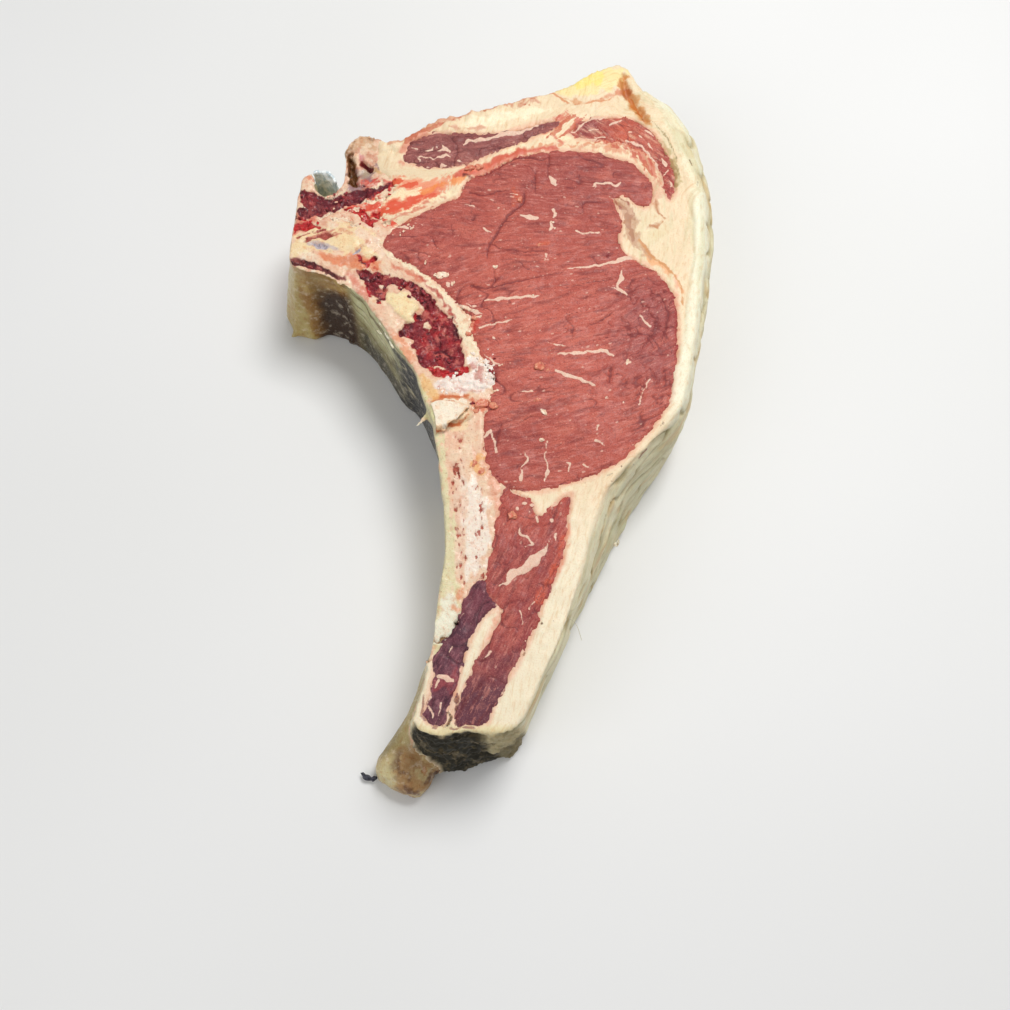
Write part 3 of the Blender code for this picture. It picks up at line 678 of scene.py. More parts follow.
INNER_MARBLING = (
    ((-23, 101, 0.8), (-20.6, 100.2, 1.3), (-18.4, 99.4, 0.9)), ((-24.6, 97.4, 0.7), (-22.8, 99, 1.1)),
    ((-25.6, 95, 0.5), (-26, 91, 0.7), (-24.6, 86.6, 0.5)), ((-22.4, 88, 0.4), (-21.8, 91.6, 0.5)),
    ((-20, 108, 0.3), (-18.4, 111, 0.5)), ((-17.6, 119, 0.4), (-15, 122.6, 0.5)),
    ((-14, 131, 0.4), (-12.4, 127, 0.4)),
)
TOP_MARBLING = (
    ((-20.5, 315.4, 0.6), (-18, 317.4, 1.4), (-14, 318, 1.3), (-9, 318.4, 1.7), (-2, 321, 2.1),
     (4, 322, 1.6), (10, 325.4, 1)),
    ((-29, 315.6, 0.4), (-27, 313.6, 1), (-25.4, 312, 0.4)), ((-26.8, 313.4, 1), (-31, 313, 0.6)),
    ((-38, 309.6, 1.2), (-33, 309.2, 0.8), (-27, 310.2, 1), (-25, 309.6, 0.4)),
    ((-39.6, 310.8, 0.5), (-37.4, 308, 1), (-38, 306.4, 0.4)),
    ((-30, 303.8, 0.5), (-28, 305.6, 1.2), (-24, 305.2, 0.6)), ((-35, 305, 0.9), (-32, 303.4, 0.5)),
    ((-41, 314, 1), (-39, 313.6, 0.5)), ((-22, 308, 1), (-20, 307.4, 0.4)),
    ((-36, 312.4, 0.4), (-33, 313.4, 0.8), (-31, 315, 0.4)), ((-41, 305, 0.6), (-38, 303.6, 0.8)),
)
CAP_MARBLING = (
    ((24, 322, 1), (30, 327, 1.3), (37, 329, 1)), ((39, 325, 0.7), (42, 327.2, 1.1), (45.6, 328.6, 0.6)),
    ((31, 322.8, 0.5), (35, 323.6, 0.8)), ((48, 322, 0.9),), ((51.6, 320, 1.1),),
    ((55, 317, 0.9), (56.4, 313.6, 0.6)),
    ((46.4, 317.6, 1.2), (52, 316, 1), (55.6, 311, 1.4), (58.6, 305, 1.4)),
    ((60.6, 301, 0.9), (62.4, 304.6, 0.6)), ((60, 309.6, 0.8), (62, 307, 0.9)), ((43, 319, 0.7),),
    ((37, 320, 0.9), (33, 319.6, 0.6)), ((27.6, 321.4, 0.8), (26.4, 324, 0.6)),
    ((57.6, 320.6, 0.6), (54, 323.4, 0.9)), ((62, 300, 0.5), (63.4, 297, 0.8)),
)


def tissue_border(places):
    """Distance to the nearest fat or bone, up to 6 mm."""
    return np.minimum(distance_to(TREES["fat"], places, 6), distance_to(TREES["bone"], places, 6))


def eye_flow(places):
    """Fibres rise to the right in the lower lobe, steeper by the cap, and run level in the upper one."""
    x, y = places[:, 0], places[:, 1]
    steep = 0.45 * 8 * np.logaddexp(0, (x - 44) / 8) * (1 - ease_in(y, 245, 275))
    slope = 0.2 - 0.28 * ease_in(y, 252, 290)
    bend = 1.2 * rough_noise(places[:, :2], 16.0, 2, 8)
    return np.stack([x + 0.2 * y, y - slope * x - steep + bend, places[:, 2]], axis=1)


def eye_of_rib():
    """The eye muscle: fine grain, creases, wrinkles towards the cap and cream marbling."""
    body = even_skin("eye_muscle", "eye_of_rib", 1.1, lift=0.4)
    places = places_of(body)
    up = ease_in(places[:, 2], 40, 45)
    plan = places[:, :2]
    flow = eye_flow(places)
    border = tissue_border(places)
    inner = ease_in(border, 0.5, 3.0)
    coat = Coat(body, places, (190, 103, 90), flow)
    coat.blend(0.5 + 0.5 * rough_noise(plan, 12.0, 3, 9), (180, 92, 82))
    coat.blend(0.75 * spot(places, 36, 300, 24) + 0.5 * spot(places, 5, 300, 18), (162, 84, 80))
    coat.blend(0.8 * spot(places, 8, 232, 34) + 0.5 * spot(places, 28, 205, 22), (202, 112, 98))
    coat.blend(0.6 * spot(places, -36, 268, 18), (178, 94, 88))
    coat.blend(0.75 * spot(places, 57, 240, 14) + 0.5 * spot(places, 52, 222, 12), (158, 84, 86))
    coat.blend(0.6 * spot(places, 0, 188, 14), (168, 84, 78))
    coat.strands(0.55, (206, 122, 106), (9, 3.0, 12), 0.1, 0.9)
    coat.strands(0.45, (158, 74, 70), (5, 1.6, 15), 0.2, 0.9)
    for wash in EYE_WASHES:
        coat.wash(*wash)
    by_cap = ease_in(plan[:, 0], 56, 60) * ease_in(plan[:, 1], 218, 226)
    coat.blend(0.55 * (1 - ease_in(border, 0.4, 1.8)) * by_cap, (150, 40, 42))
    lines = ease_in(ridges(flow, 15, 4.6, 3), 0.84, 1.0) * ease_in(lattice_noise(plan, 11.0, 5), -0.5, 0.3)
    hairlines = ease_in(ridges(flow, 9, 2.3, 6), 0.82, 1.0)
    hairlines *= ease_in(lattice_noise(plan, 7.0, 7), -0.2, 0.5)
    wrinkled = ease_in(spot(places, 58, 218, 22) + 0.8 * spot(places, 52, 246, 14), 0.25, 0.8)
    net = ease_in(1 - np.abs(rough_noise(plan, 4.2, 2, 13)) * 2.4, 0.5, 1.0) * wrinkled
    crease = brush(places, EYE_CREASES)
    folds = ease_in(crease, -0.3, 0.35) + 0.9 * lines + 0.75 * hairlines + 0.9 * net
    # The creases are carved into the relief below, and the finish darkens them with painted shade.
    coat.crease = up * np.clip(folds, 0, 1)
    cream = brush(places, EYE_MARBLING)
    height = cut_relief(places) + 0.35 * inner * (0.4 + 0.5 * lattice_noise(plan, 22.0, 2))
    height += inner * (0.16 * streaks(flow, 7, 1.7, 18) + 0.1 * rough_noise(plan, 1.6, 2, 19))
    height -= 0.6 * ease_in(crease, -0.6, 0.5) + 0.34 * lines + 0.16 * hairlines + 0.4 * net
    height += 0.2 * ease_in(cream, -0.3, 0.5)
    raise_skin(body, places, up * height)
    coat.mark(EYE_MARBLING, CREAM, 0.2)
    film = 0.5 * lattice_noise(plan, 3.0, 31) - 0.1 - border
    coat.mark_where(np.where(plan[:, 0] < 40, film, OFF), (240, 208, 184))
    coat.under *= (0.99, 0.9, 0.86)
    coat.keep()
    finish = lean_finish("eye_lean", tint(116, 42, 44), tint(218, 142, 128), flecks=0.8)
    settle(body, "eye_lean", finish, "eye_muscle")


def small_muscle(node, name, slot, voxel, strokes, angle, tones, paint, deep, pale):
    """A smaller muscle, with its grain along one angle, three tones and paint of its own over them."""
    body = even_skin(node, name, voxel, lift=0.7, overlap=0.9 if node == "inner_rib_muscle" else 1.5)
    places = places_of(body)
    up = ease_in(places[:, 2], 40, 45)
    plan = places[:, :2]
    flow = straight_flow(places, angle)
    border = tissue_border(places)
    coat = Coat(body, places, tones[0], flow)
    coat.blend(0.5 + 0.6 * rough_noise(plan, 7.0, 3, 9), tones[1])
    coat.strands(0.5, tones[2], (6, 1.6, 15), 0.1, 0.8)
    paint(coat)
    folds = ease_in(ridges(flow, 9, 3.0, 3), 0.8, 1.0)
    # The folds are carved into the relief below, and the finish darkens them with painted shade.
    coat.crease = up * folds * 0.8
    cream = brush(places, strokes)
    height = cut_relief(places) + 0.3 * rough_noise(plan, 3.4, 3, 6) * ease_in(border, 0, 2)
    height += 0.18 * streaks(flow, 6, 1.5, 18) - 0.35 * folds + 0.25 * ease_in(cream, -0.3, 0.5)
    raise_skin(body, places, up * height)
    coat.mark(strokes, CREAM, 0.35)
    coat.mark_where(0.8 * lattice_noise(plan, 2.6, 31) - 0.1 - border, (236, 196, 168))
    coat.keep()
    settle(body, slot, lean_finish(slot, tint(*deep), tint(*pale), 3.5, 0.8), node)


def top_lean_tones(coat):
    """Darker towards both ends, with a pale film along the fat."""
    coat.blend(0.5 * spot(coat.places, -14, 322, 10) + 0.4 * spot(coat.places, -36, 312, 9), (128, 66, 66))
    pale_film = (((-41, 303, 2.0), (-30, 303, 2.0), (-18, 307, 2.0), (-5, 313, 1.4)),)
    coat.wash(pale_film, (214, 150, 124), 1.2, 0.6)


def cap_lean_tones(coat):
    """Orange-red over the eye, maroon at the inner end, and streaks of fat between the fibres."""
    coat.blend(0.9 * spot(coat.places, 46, 322, 8), (206, 98, 72))
    coat.blend(0.7 * spot(coat.places, 31, 325, 5), (136, 58, 62))
    coat.blend(0.6 * ease_in(-coat.places[:, 1], -312, -300), (176, 70, 64))
    coat.strands(0.7, (232, 190, 160), (5, 1.4, 33), 0.25, 0.8)


def outer_tail_tones(coat):
    """Bright red above, purple and dry towards the sawn end, orange along the fat."""
    y = coat.places[:, 1]
    coat.blend(0.9 * ease_in(-y + 5 * rough_noise(coat.places, 6.0, 3, 2), -114, -92), (94, 54, 68))
    coat.patches(0.5 * ease_in(-y, -130, -100), (160, 104, 108), (3.0, 3, 28), 0.2, 0.7)
    coat.blend(0.55 * ease_in(y, 140, 160), (192, 88, 72))
    coat.wash((((11, 127, 2.0), (16, 138, 2.6), (20, 150, 2.0)),), (218, 96, 66), 1.4, 0.7)


def inner_tail_tones(coat):
    """Dark purple where it has dried, redder near the rib's middle."""
    coat.blend(0.6 * ease_in(coat.places[:, 1], 112, 126), (126, 60, 70))
    coat.patches(0.6, (74, 38, 54), (4.0, 4, 26), 0.15, 0.6)
    coat.patches(0.5, (168, 120, 122), (2.4, 3, 27), 0.4, 0.7)
    redder = (((-24, 98, 3.0), (-18, 99.6, 3.0)), ((-17.4, 106, 1.5), (-17, 96, 2.0)))
    coat.wash(redder, (168, 70, 74), 1.5, 0.7)


SMALL_MUSCLES = (  # node, piece, slot, voxel, marbling, angle of the grain, tones, paint, deep and pale
    ("top_muscle", "top_lean", "dark_lean", 0.9, TOP_MARBLING, 12,
     ((160, 92, 84), (138, 74, 72), (178, 108, 98)), top_lean_tones, (92, 38, 42), (202, 136, 122)),
    ("cap_muscle", "cap_lean", "bright_lean", 0.9, CAP_MARBLING, -35,
     ((188, 92, 76), (160, 66, 60), (206, 118, 96)), cap_lean_tones, (118, 40, 42), (224, 160, 136)),
    ("outer_rib_muscle", "tail_outer_lean", "tail_lean", 1.0, TAIL_MARBLING, 62,
     ((176, 84, 74), (152, 64, 64), (200, 112, 98)), outer_tail_tones, (104, 38, 44), (214, 138, 122)),
    ("inner_rib_muscle", "tail_inner_lean", "dried_lean", 0.9, INNER_MARBLING, 66,
     ((112, 60, 72), (94, 48, 62), (140, 84, 92)), inner_tail_tones, (62, 28, 40), (170, 112, 116)),
)

# Washes of the fat, as (strokes, tone, softness, strength). Some also have the length and width of
# the noise that tears them along the flow.

FAT_WASHES = (
    ((((70, 200, 9), (75, 235, 9), (78, 262, 11), (78, 295, 13), (72, 318, 12), (62, 340, 8),
       (54, 350, 6)),), (240, 236, 206), 3, 0.7),
    ((((68.6, 205, 1.6), (71.6, 232, 1.8), (74, 262, 1.8), (75.6, 290, 1.8), (71, 314, 1.6),
       (60, 334, 1.4)),), (222, 214, 176), 1, 0.5, (12, 1.2)),
    ((((16, 342, 3), (24, 343, 8), (32, 345.6, 11), (40, 348.6, 11), (44.4, 352.6, 5)),), (240, 222, 158),
     2, 0.85),
    ((((27, 345.6, 4), (32, 347.4, 7), (36, 349.4, 4)),), (240, 222, 124), 2.4, 0.8),
    ((((-18, 326, 4), (-8, 328, 5), (6, 331.6, 4), (14, 333, 2)),), (250, 238, 206), 1.6, 0.8),
    ((((-50, 317, 3), (-44, 321, 4), (-36, 325, 4), (-26, 329.4, 4), (-16, 333.6, 4), (-6, 336.4, 3),
       (4, 339, 3), (13, 341.6, 2)),), (208, 142, 112), 1.6, 0.75, (4, 1.5)),
    ((((-45, 312, 3), (-42, 317, 3), (-36, 320.4, 2.4)), ((-44, 306, 2),)), (214, 128, 104), 1.8, 0.7),
    ((((-26, 324, 2), (-18, 323.4, 1.6), (-12, 324.6, 1.2)), ((2, 334, 1.4), (5, 336.4, 1.4)),
      ((8, 338, 1.2), (11, 336, 1))), (198, 126, 100), 1, 0.6),
    ((((-56, 284, 4), (-48, 286.4, 6), (-40, 289, 5), (-33, 292.6, 5), (-26, 296, 3)),), (226, 106, 78),
     1.6, 0.85, (9, 1.1)),
    ((((-48, 298, 4), (-42, 297, 4), (-34, 296.6, 3), (-24, 299.6, 2)),), (232, 128, 96), 1.6, 0.7,
     (8, 1.2)),
    ((((-36, 293, 2), (-30, 295.4, 2.4), (-24, 297.6, 2.6), (-18.4, 300.6, 1.6)),), (236, 142, 78), 1, 0.8,
     (9, 1.4)),
    ((((-50, 279.4, 1.2), (-42, 283, 1.6), (-34, 287.4, 1.2), (-27, 290.4, 0.6)),), (206, 104, 82), 0.8,
     0.7, (7, 0.9)),
    ((((-54, 291, 3), (-46, 291.6, 3), (-38, 291.4, 1.4)),
      ((-38, 286.8, 0.8), (-32, 289.8, 1.2), (-24, 292.2, 2.2))), (252, 236, 196), 1, 0.85, (9, 1)),
    ((((-22, 301, 2.6), (-16.4, 303.4, 5), (-11, 304.4, 5), (-5, 308.6, 4), (1, 311.8, 3.4),
       (9, 313.4, 2.4), (17, 313.8, 1.2)),), (204, 88, 66), 1, 0.9),
    ((((-17, 303.4, 1.6), (-14, 303, 2.6), (-11.6, 305.4, 1.6)),), (232, 122, 92), 0.9, 0.8),
    ((((-20, 301, 0.8), (-16.6, 299.4, 1.6), (-13.4, 301, 0.6)),), (90, 26, 22), 0.6, 0.8),
    ((((-4, 313, 1.6), (6, 318, 2), (14, 321, 2), (22, 318.6, 1.6)),), (250, 230, 190), 1, 0.8),
    ((((13, 322, 2), (18, 327, 3), (22, 331, 2)), ((22, 322, 1), (27, 328.6, 1.4)),
      ((17, 320, 1.6), (20, 316.6, 1.4))), (208, 104, 82), 1, 0.75, (4, 1)),
    ((((26, 314.6, 1.2), (36, 315, 1.6), (45, 312.6, 2), (50, 309, 1.2)),), (214, 132, 102), 1.2, 0.6,
     (5, 1)),
    ((((38, 318.4, 2), (46, 315.6, 3), (52, 311.6, 4), (56.6, 305, 3), (58.6, 298, 2)),), (198, 96, 74),
     1.6, 0.7, (4, 1.1)),
    ((((57, 322, 2), (61, 317, 3), (63.6, 311, 3.6), (65.4, 303, 3.6), (65.6, 295, 1.6)),), (178, 158, 108),
     1.2, 0.8),
    ((((45.6, 351, 1.4), (46, 346, 3.6), (47.6, 341.6, 4.4), (50.4, 336, 4.4), (53, 331, 3.4),
       (56, 326.6, 1.4)),), (202, 128, 66), 1.4, 0.85),
    ((((46, 346, 1.4), (47.6, 341, 2.2), (50.6, 335.4, 2), (54, 329, 1.2)),), (164, 78, 32), 0.9, 0.8),
    ((((36, 338.4, 0.7), (42, 341, 1.6), (45.6, 343.6, 1.6)),), (206, 120, 82), 0.8, 0.75),
    ((((13, 342.6, 1.6), (18, 340.2, 1.4), (24, 336.8, 1), (31, 336.8, 0.8), (37, 338.2, 0.8)),),
     (212, 150, 104), 0.8, 0.7),
    ((((41, 292, 2), (43, 289, 3.6), (46, 286, 5), (47, 280, 5.6), (47.4, 274, 5.4), (49, 270.4, 3),
       (52, 266.6, 2)),), (194, 150, 120), 1.4, 0.8, (3, 1)),
    ((((52, 266.6, 1.4), (54, 263.4, 2.4), (58, 261, 3), (62, 257, 1.6), (66, 249, 1.4)),), (232, 164, 112),
     1, 0.75),
    ((((50.4, 272, 1.2), (54, 265, 1.4)), ((56.6, 292, 1.2), (57.6, 287, 2.4), (58.8, 283.4, 1.4)),
      ((53.6, 278, 0.8), (57, 279.4, 1.8), (59.8, 281.8, 0.8))), (196, 142, 106), 0.7, 0.75),
    ((((53, 303, 2), (57.4, 298, 2.4), (58.4, 291, 1.6)),), (214, 164, 132), 1.2, 0.6),
    ((((63.6, 256, 1), (63.2, 244, 1.6), (62.4, 228, 2), (61.6, 214, 1.8), (59.6, 203, 1)),),
     (230, 168, 138), 1, 0.75),
    ((((8, 122, 1), (13.4, 131, 1.8), (17.6, 141, 2), (20.6, 152, 1.6), (22.6, 160, 0.8)),), (220, 128, 96),
     1, 0.75, (7, 1.2)),
    ((((-8, 87, 1), (-4, 95, 1.8), (1, 104, 1.8), (6, 113, 1.2)),), (226, 172, 146), 1, 0.7),
    ((((-10, 122, 1.4), (-15, 112, 1.8), (-18, 102, 1.8), (-17, 95, 1.2)), ((-2.6, 124, 1), (-6, 114, 1))),
     (232, 168, 140), 1, 0.65),
)
# The step between the cut fat and its whiter rim: sunk a little, with painted shade along it.
RIM_EDGE = (
    (54, 343, 0.6), (58.5, 332, 1), (63, 325, 1), (66.5, 318, 1.1), (68, 305, 1), (68.6, 292, 1),
    (71.4, 281, 0.9), (71, 264, 0.9), (67.4, 250, 0.8), (66.4, 238, 0.7), (65.6, 226, 0.5),
)

# Crisp marks of the fat, as (strokes, tone, tear in mm), some with such a noise too

FAT_MARKS = (
    ((((44.4, 175.4, 0.8), (46, 177.4, 1.5)), ((43.6, 174.4, 0.5),),
      ((47.6, 181.6, 0.6), (50.4, 184.4, 0.9))), (132, 62, 40), 0.3),
    ((((37, 172, 0.6),), ((36, 173.4, 0.4), (37.6, 174.6, 0.5)), ((27.6, 171, 0.6),), ((12, 119, 1.1),),
      ((6, 108.4, 0.8), (6.6, 109.2, 0.4)), ((16.5, 120.4, 0.4),), ((41, 177.6, 0.7),), ((45.6, 179, 0.5),),
      ((55, 193, 0.4), (57, 194.6, 0.6)), ((72, 310, 0.7), (72.6, 307, 0.4)),
      ((74.2, 299, 0.5), (74, 297, 0.3)), ((29, 139, 0.7), (29.4, 137.6, 0.5))), (92, 62, 42), 0.1),
    ((((53, 330.4, 0.7), (54.4, 327.6, 0.5)), ((50.6, 333, 0.6), (52, 331, 0.5))), (110, 84, 34), 0.2),
    ((((14, 319, 1), (18, 323, 1.4), (22, 328, 1.6), (25, 331, 1)),
      ((20, 320, 1.2), (25, 326, 1.6), (29, 331, 1)), ((16, 326, 1), (20, 331, 1)),
      ((25, 319, 1), (30, 323, 1.4))), (198, 100, 80), 1.1, (4, 0.9)),
    ((((40, 316, 1.2), (47, 313.6, 1.6), (52.6, 309, 1.8), (56, 302, 1.4)),
      ((44, 317.6, 1), (51, 314.6, 1.4), (56.6, 308, 1.2)), ((34, 318, 0.8), (40, 318, 1))), (196, 96, 78),
     1.2, (5, 0.8)),
    ((((26, 316.6, 1), (34, 316.6, 1.2), (42, 315, 1)), ((8, 314.6, 0.8), (18, 316, 1.2), (26, 315, 0.8))),
     (224, 160, 128), 0.9, (6, 0.9)),
    ((((-54, 284, 3), (-47, 286, 4.4), (-40, 288.6, 3.6), (-33, 291.6, 2)),
      ((-50, 297.6, 2.4), (-43, 297.4, 2.4), (-36, 295.6, 1))), (222, 88, 62), 1.5, (9, 0.9)),
    ((((-52, 289.6, 1.6), (-45, 292.6, 2.6), (-38, 293.4, 2)), ((-50, 279.6, 1.6), (-46, 278, 2.4)),
      ((-56, 292, 1.2), (-51, 292.4, 1.4)), ((-44, 284, 0.8), (-37, 287.4, 0.9), (-30, 290.6, 0.8))),
     (250, 230, 192), 1.1, (8, 0.8)),
    ((((-47, 274.6, 0.5), (-41, 279.4, 0.7), (-34, 284, 0.7), (-30, 287.4, 0.4)),), (178, 78, 62), 0.3),
    ((((-44, 317, 1.4), (-39, 321, 1.6), (-32, 324.6, 1.2)), ((-30, 326.6, 1), (-22, 329.6, 1.2)),
      ((-12, 333, 1), (-6, 334.6, 1.2)), ((4, 335, 1), (9, 338.6, 1))), (196, 112, 88), 1.2),
    ((((43, 288, 1.4), (46, 283, 2.4), (46.6, 277, 2.4), (47.6, 272, 1.8)),), (174, 128, 100), 1.3),
    ((((50.4, 272.6, 0.8), (53.8, 266, 0.9), (60, 260.6, 0.9), (65.6, 252, 0.8), (66, 243, 0.6)),),
     (206, 146, 92), 0.3),
    ((((54.6, 279.4, 0.9), (57, 278.4, 1.4), (59.6, 280.6, 0.8)),
      ((57, 290, 0.5), (57.8, 285, 0.8), (60.4, 282, 0.5))), (188, 130, 88), 0.3),
    ((((39, 292.4, 0.4), (41.4, 288.6, 0.8), (43.6, 286, 0.6)),
      ((42, 292, 0.5), (46, 288.4, 0.7), (48.6, 284, 0.6))), (150, 74, 64), 0.5),
    ((((55, 321, 1.2), (60, 316, 1.8), (63.4, 310, 2), (65, 303, 2), (65.4, 296, 1.2)),), (166, 142, 100),
     0.7),
    ((((57, 328, 0.5), (63, 320.6, 0.6), (66, 312, 0.6), (66.8, 302, 0.5)),), (150, 138, 100), 0.1),
    ((((46.4, 343.6, 1), (49, 338, 2.2), (51.6, 333, 1.8), (54, 328.6, 1)),), (194, 112, 44), 0.8),
    ((((21.6, 335.4, 0.6), (30, 335.8, 0.7), (39.4, 338.2, 0.8), (45, 343.2, 1)),
      ((14, 342.2, 0.8), (19, 339.4, 0.9), (22, 335.8, 0.6))), (214, 144, 104), 0.3),
    ((((-7, 88, 0.4), (-2, 98, 0.5), (4, 110, 0.5), (10, 124, 0.4)),), (206, 146, 124), 0.2),
    # Near black: painted shade standing in for the small hole between the tail muscles.
    ((((-19.8, 90.4, 1), (-18.8, 87, 1.6), (-19.8, 84.6, 1)),), (44, 34, 26), 0.5),
    ((((-20, 98, 1), (-19.8, 93, 1.8), (-20.2, 90, 1)),
      ((-16.4, 95, 1), (-16, 90, 1.6), (-16.2, 85.6, 1.8))), (104, 62, 74), 0.6),
    ((((-27.4, 95, 0.8), (-27.8, 90, 1), (-27.4, 86, 0.8)),
      ((-24, 84.4, 0.6), (-18, 83.8, 0.9), (-10, 83.6, 0.8))), (158, 122, 112), 0.8),
    ((((-20, 112, 0.6), (-16.6, 104, 0.8), (-17.6, 97, 0.7)), ((-14, 118.6, 0.5), (-9, 123, 0.5))),
     (196, 104, 92), 0.7),
)
CREVICE = (
    ((45.6, 350, 1), (47, 342, 2.6), (50.4, 336, 2.6), (55, 328, 1)),
)


def rind_tree():
    """A search tree over the old outer side of the fat."""
    mesh = frame["nodes"]["fat"].data
    middles = np.array([face.center for face in mesh.polygons]) / MM - SHIFT
    upright = np.array([abs(face.normal.z) < 0.5 for face in mesh.polygons])
    free = np.minimum(distance_to(TREES["lean"], middles), distance_to(TREES["bone"], middles)) > 3
    faces = [tuple(face.vertices) for face, rind in zip(mesh.polygons, upright & free) if rind]
    return BVHTree.FromPolygons([vertex.co.copy() for vertex in mesh.vertices], faces)


def fat_cap():
    """All the fat: smooth where it was cut, wrinkled and crusty on its old outer side."""
    body = even_skin("fat", "fat_cap", 1.15, lift=-0.4, fine_walls=lambda at: at[:, 1] < 90)
    places, normals = places_of(body), normals_of(body)
    plan = places[:, :2]
    x, y, z = places.T
    up = ease_in(z, 42.5, 45.5) * ease_in(normals[:, 2], 0.1, 0.6)
    low = ease_in(z, 1.0, 4.0)
    near_lean = distance_to(TREES["lean"], places)
    near_bone = distance_to(TREES["bone"], places)
    outside = (1 - up) * ease_in(np.minimum(near_lean, near_bone), 1.0, 2.5)
    round_cap = np.arctan2(y - 230, x + 10) * 90 + 0.7 * (y - x)
    wrap = np.stack([round_cap, z], axis=1)
    to_rind = distance_to(rind_tree(), places, 30.0)
    by_rim = (x > 34) & (to_rind < 29)
    flow = straight_flow(places, 74)
    flow[:, 0] = np.where((outside > 0.4) | by_rim, round_cap, flow[:, 0])
    flow[:, 1] = np.where(outside > 0.4, z, np.where(by_rim, to_rind, flow[:, 1]))
    wrinkles = lattice_noise(wrap / (16, 3.6), 1.0, 4) + 0.6 * lattice_noise(wrap / (8, 1.9), 1.0, 5)
    furrows = ease_in(ridges(wrap, 18, 6.0, 9), 0.7, 1.0)
    tail_end = ease_in(-y, -86.0, -83.0) * ease_in(x, -40, -32)
    coat = Coat(body, places, (242, 224, 190), flow)
    tendon = ease_in(-x, 22, 30) * ease_in(y, 276, 284) * ease_in(-y, -304, -300)
    coat.flow[:, :2] += tendon[:, None] * (straight_flow(places, 24) - flow)[:, :2]
    strands = (spot(places, 22, 324, 12) > 0.4)[:, None]
    coat.flow[:, :2] = np.where(strands, straight_flow(places, 50)[:, :2], coat.flow[:, :2])
    coat.blend(0.5 + 0.5 * rough_noise(plan, 8.0, 3, 9), (240, 216, 182))
    coat.strands(0.35, (228, 190, 154), (9, 1.8, 14), 0.0, 0.9)
    coat.blend(0.55 * coat.face * ease_in(y, 140, 180), (230, 210, 174))
    coat.blend(0.7 * coat.face * ease_in(-y, -180, -140), (236, 228, 202))
    for wash in FAT_WASHES:
        coat.wash(*wash)
    pink = (1 - ease_in(near_lean, 0.3, 2.0 + 1.2 * lattice_noise(plan, 5.0, 17))) * coat.face
    coat.blend(0.5 * pink, (228, 160, 134))
    coat.blend(outside * 0.95, (232, 226, 190))
    yellowed = ease_in(rough_noise(wrap / (2.5, 1), 5.0, 3, 18), -0.2, 0.7)
    coat.blend(outside * 0.8 * yellowed, (206, 198, 156))
    shade = ease_in(-y, -215, -150) * ease_in(y, 88, 120)
    shade *= ease_in(rough_noise(wrap / (2, 1), 7.0, 3, 19) - z / 60, -0.7, 0.3)
    coat.blend(outside * shade * 0.6, (202, 202, 164))
    amber = ease_in(rough_noise(wrap / (2, 1), 6.0, 2, 23), 0.35, 0.9)
    coat.blend(outside * 0.55 * amber, (214, 178, 118))
    back = outside * ease_in(y - 0.36 * x, 322, 330)
    coat.patches(back * 0.5, (204, 148, 112), (4.0, 3, 27), -0.2, 0.6)
    rim = coat.face * ease_in(brush(places, (RIM_EDGE,), 14.0) + 0.5 * to_rind, -4, 0) * (x > 50)
    outer_rim = coat.face * ease_in(-to_rind, -7.5, -5.5) * ease_in(x, 55, 64)
    coat.blend(0.8 * outer_rim, (238, 237, 212))
    # Olive streaks in the band by the rim edge: partly the rind's own olive lines, partly painted shade at
    # the step.
    coat.blend(0.35 * rim * ease_in(streaks(coat.flow, 22, 1.4, 44), 0.1, 0.6), (200, 194, 152))
    # The furrows and the crust are darkened in the finish: painted shade in the furrows, darker dry crust
    # on the tail's end.
    coat.crease = np.clip(outside * (0.75 * furrows + 0.3 * ease_in(-wrinkles, 0.2, 1.0)), 0, 1)
    crust = tail_end * outside
    coat.crease = np.maximum(coat.crease, 0.6 * crust)
    # The tail's end: dark dry crust on its left part, spreading further right lower down as painted shade,
    # and painted shade darkening the crust towards the bottom.
    dark_crust_and_shade = ease_in(-x - 9 + 0.12 * (46 - z) + 3 * rough_noise(places, 5.0, 3, 3), -2.5, 2.5)
    coat.blend(crust * 0.9, (208, 202, 168))
    coat.blend(0.7 * crust * ease_in(22 - z + 6 * lattice_noise(places, 6.0, 5), -4, 14), (120, 114, 88))
    coat.blend(0.97 * crust * dark_crust_and_shade, (44, 42, 28))
    coat.patches(0.8 * crust * dark_crust_and_shade, (98, 86, 56), (3.4, 4, 41), 0.2, 0.6)
    coat.patches(0.7 * crust, (176, 162, 120), (3.0, 4, 42), 0.5, 0.9)
    lip = tail_end * ease_in(z + 0.8 * lattice_noise(places, 2.0, 6), 43.4, 44.6)
    coat.blend(0.85 * lip, (226, 212, 166))
    crevice = brush(places, CREVICE)
    crumbly = up * ease_in(y - 0.36 * x, 325, 331) * ease_in(-x, -14, 2)
    height = up * (cut_relief(places) + 0.12 * streaks(coat.flow, 8, 2.0, 2))
    height += up * 0.07 * rough_noise(plan, 2.2, 2, 3)
    height += low * outside * (0.5 * wrinkles + 0.35 * rough_noise(places, 9.0, 3, 7) - 0.9 * furrows)
    height += crust * (1.2 * rough_noise(places, 3.4, 4, 8) + 0.5 * rough_noise(places, 1.4, 2, 9) - 0.6)
    height += crumbly * (0.9 * rough_noise(places, 3.2, 3, 11)) - 1.6 * up * ease_in(crevice, -1.2, 1.0)
    height += up * (0.5 * outer_rim - 0.35 * ease_in(brush(places, (RIM_EDGE,)), -0.6, 0.5))
    raise_skin(body, places, height)
    for mark in FAT_MARKS:
        coat.mark(*mark)
    coat.keep()
    settle(body, "fat", fat_finish(), "fat")


# Washes and crisp marks of the bone, in the same order

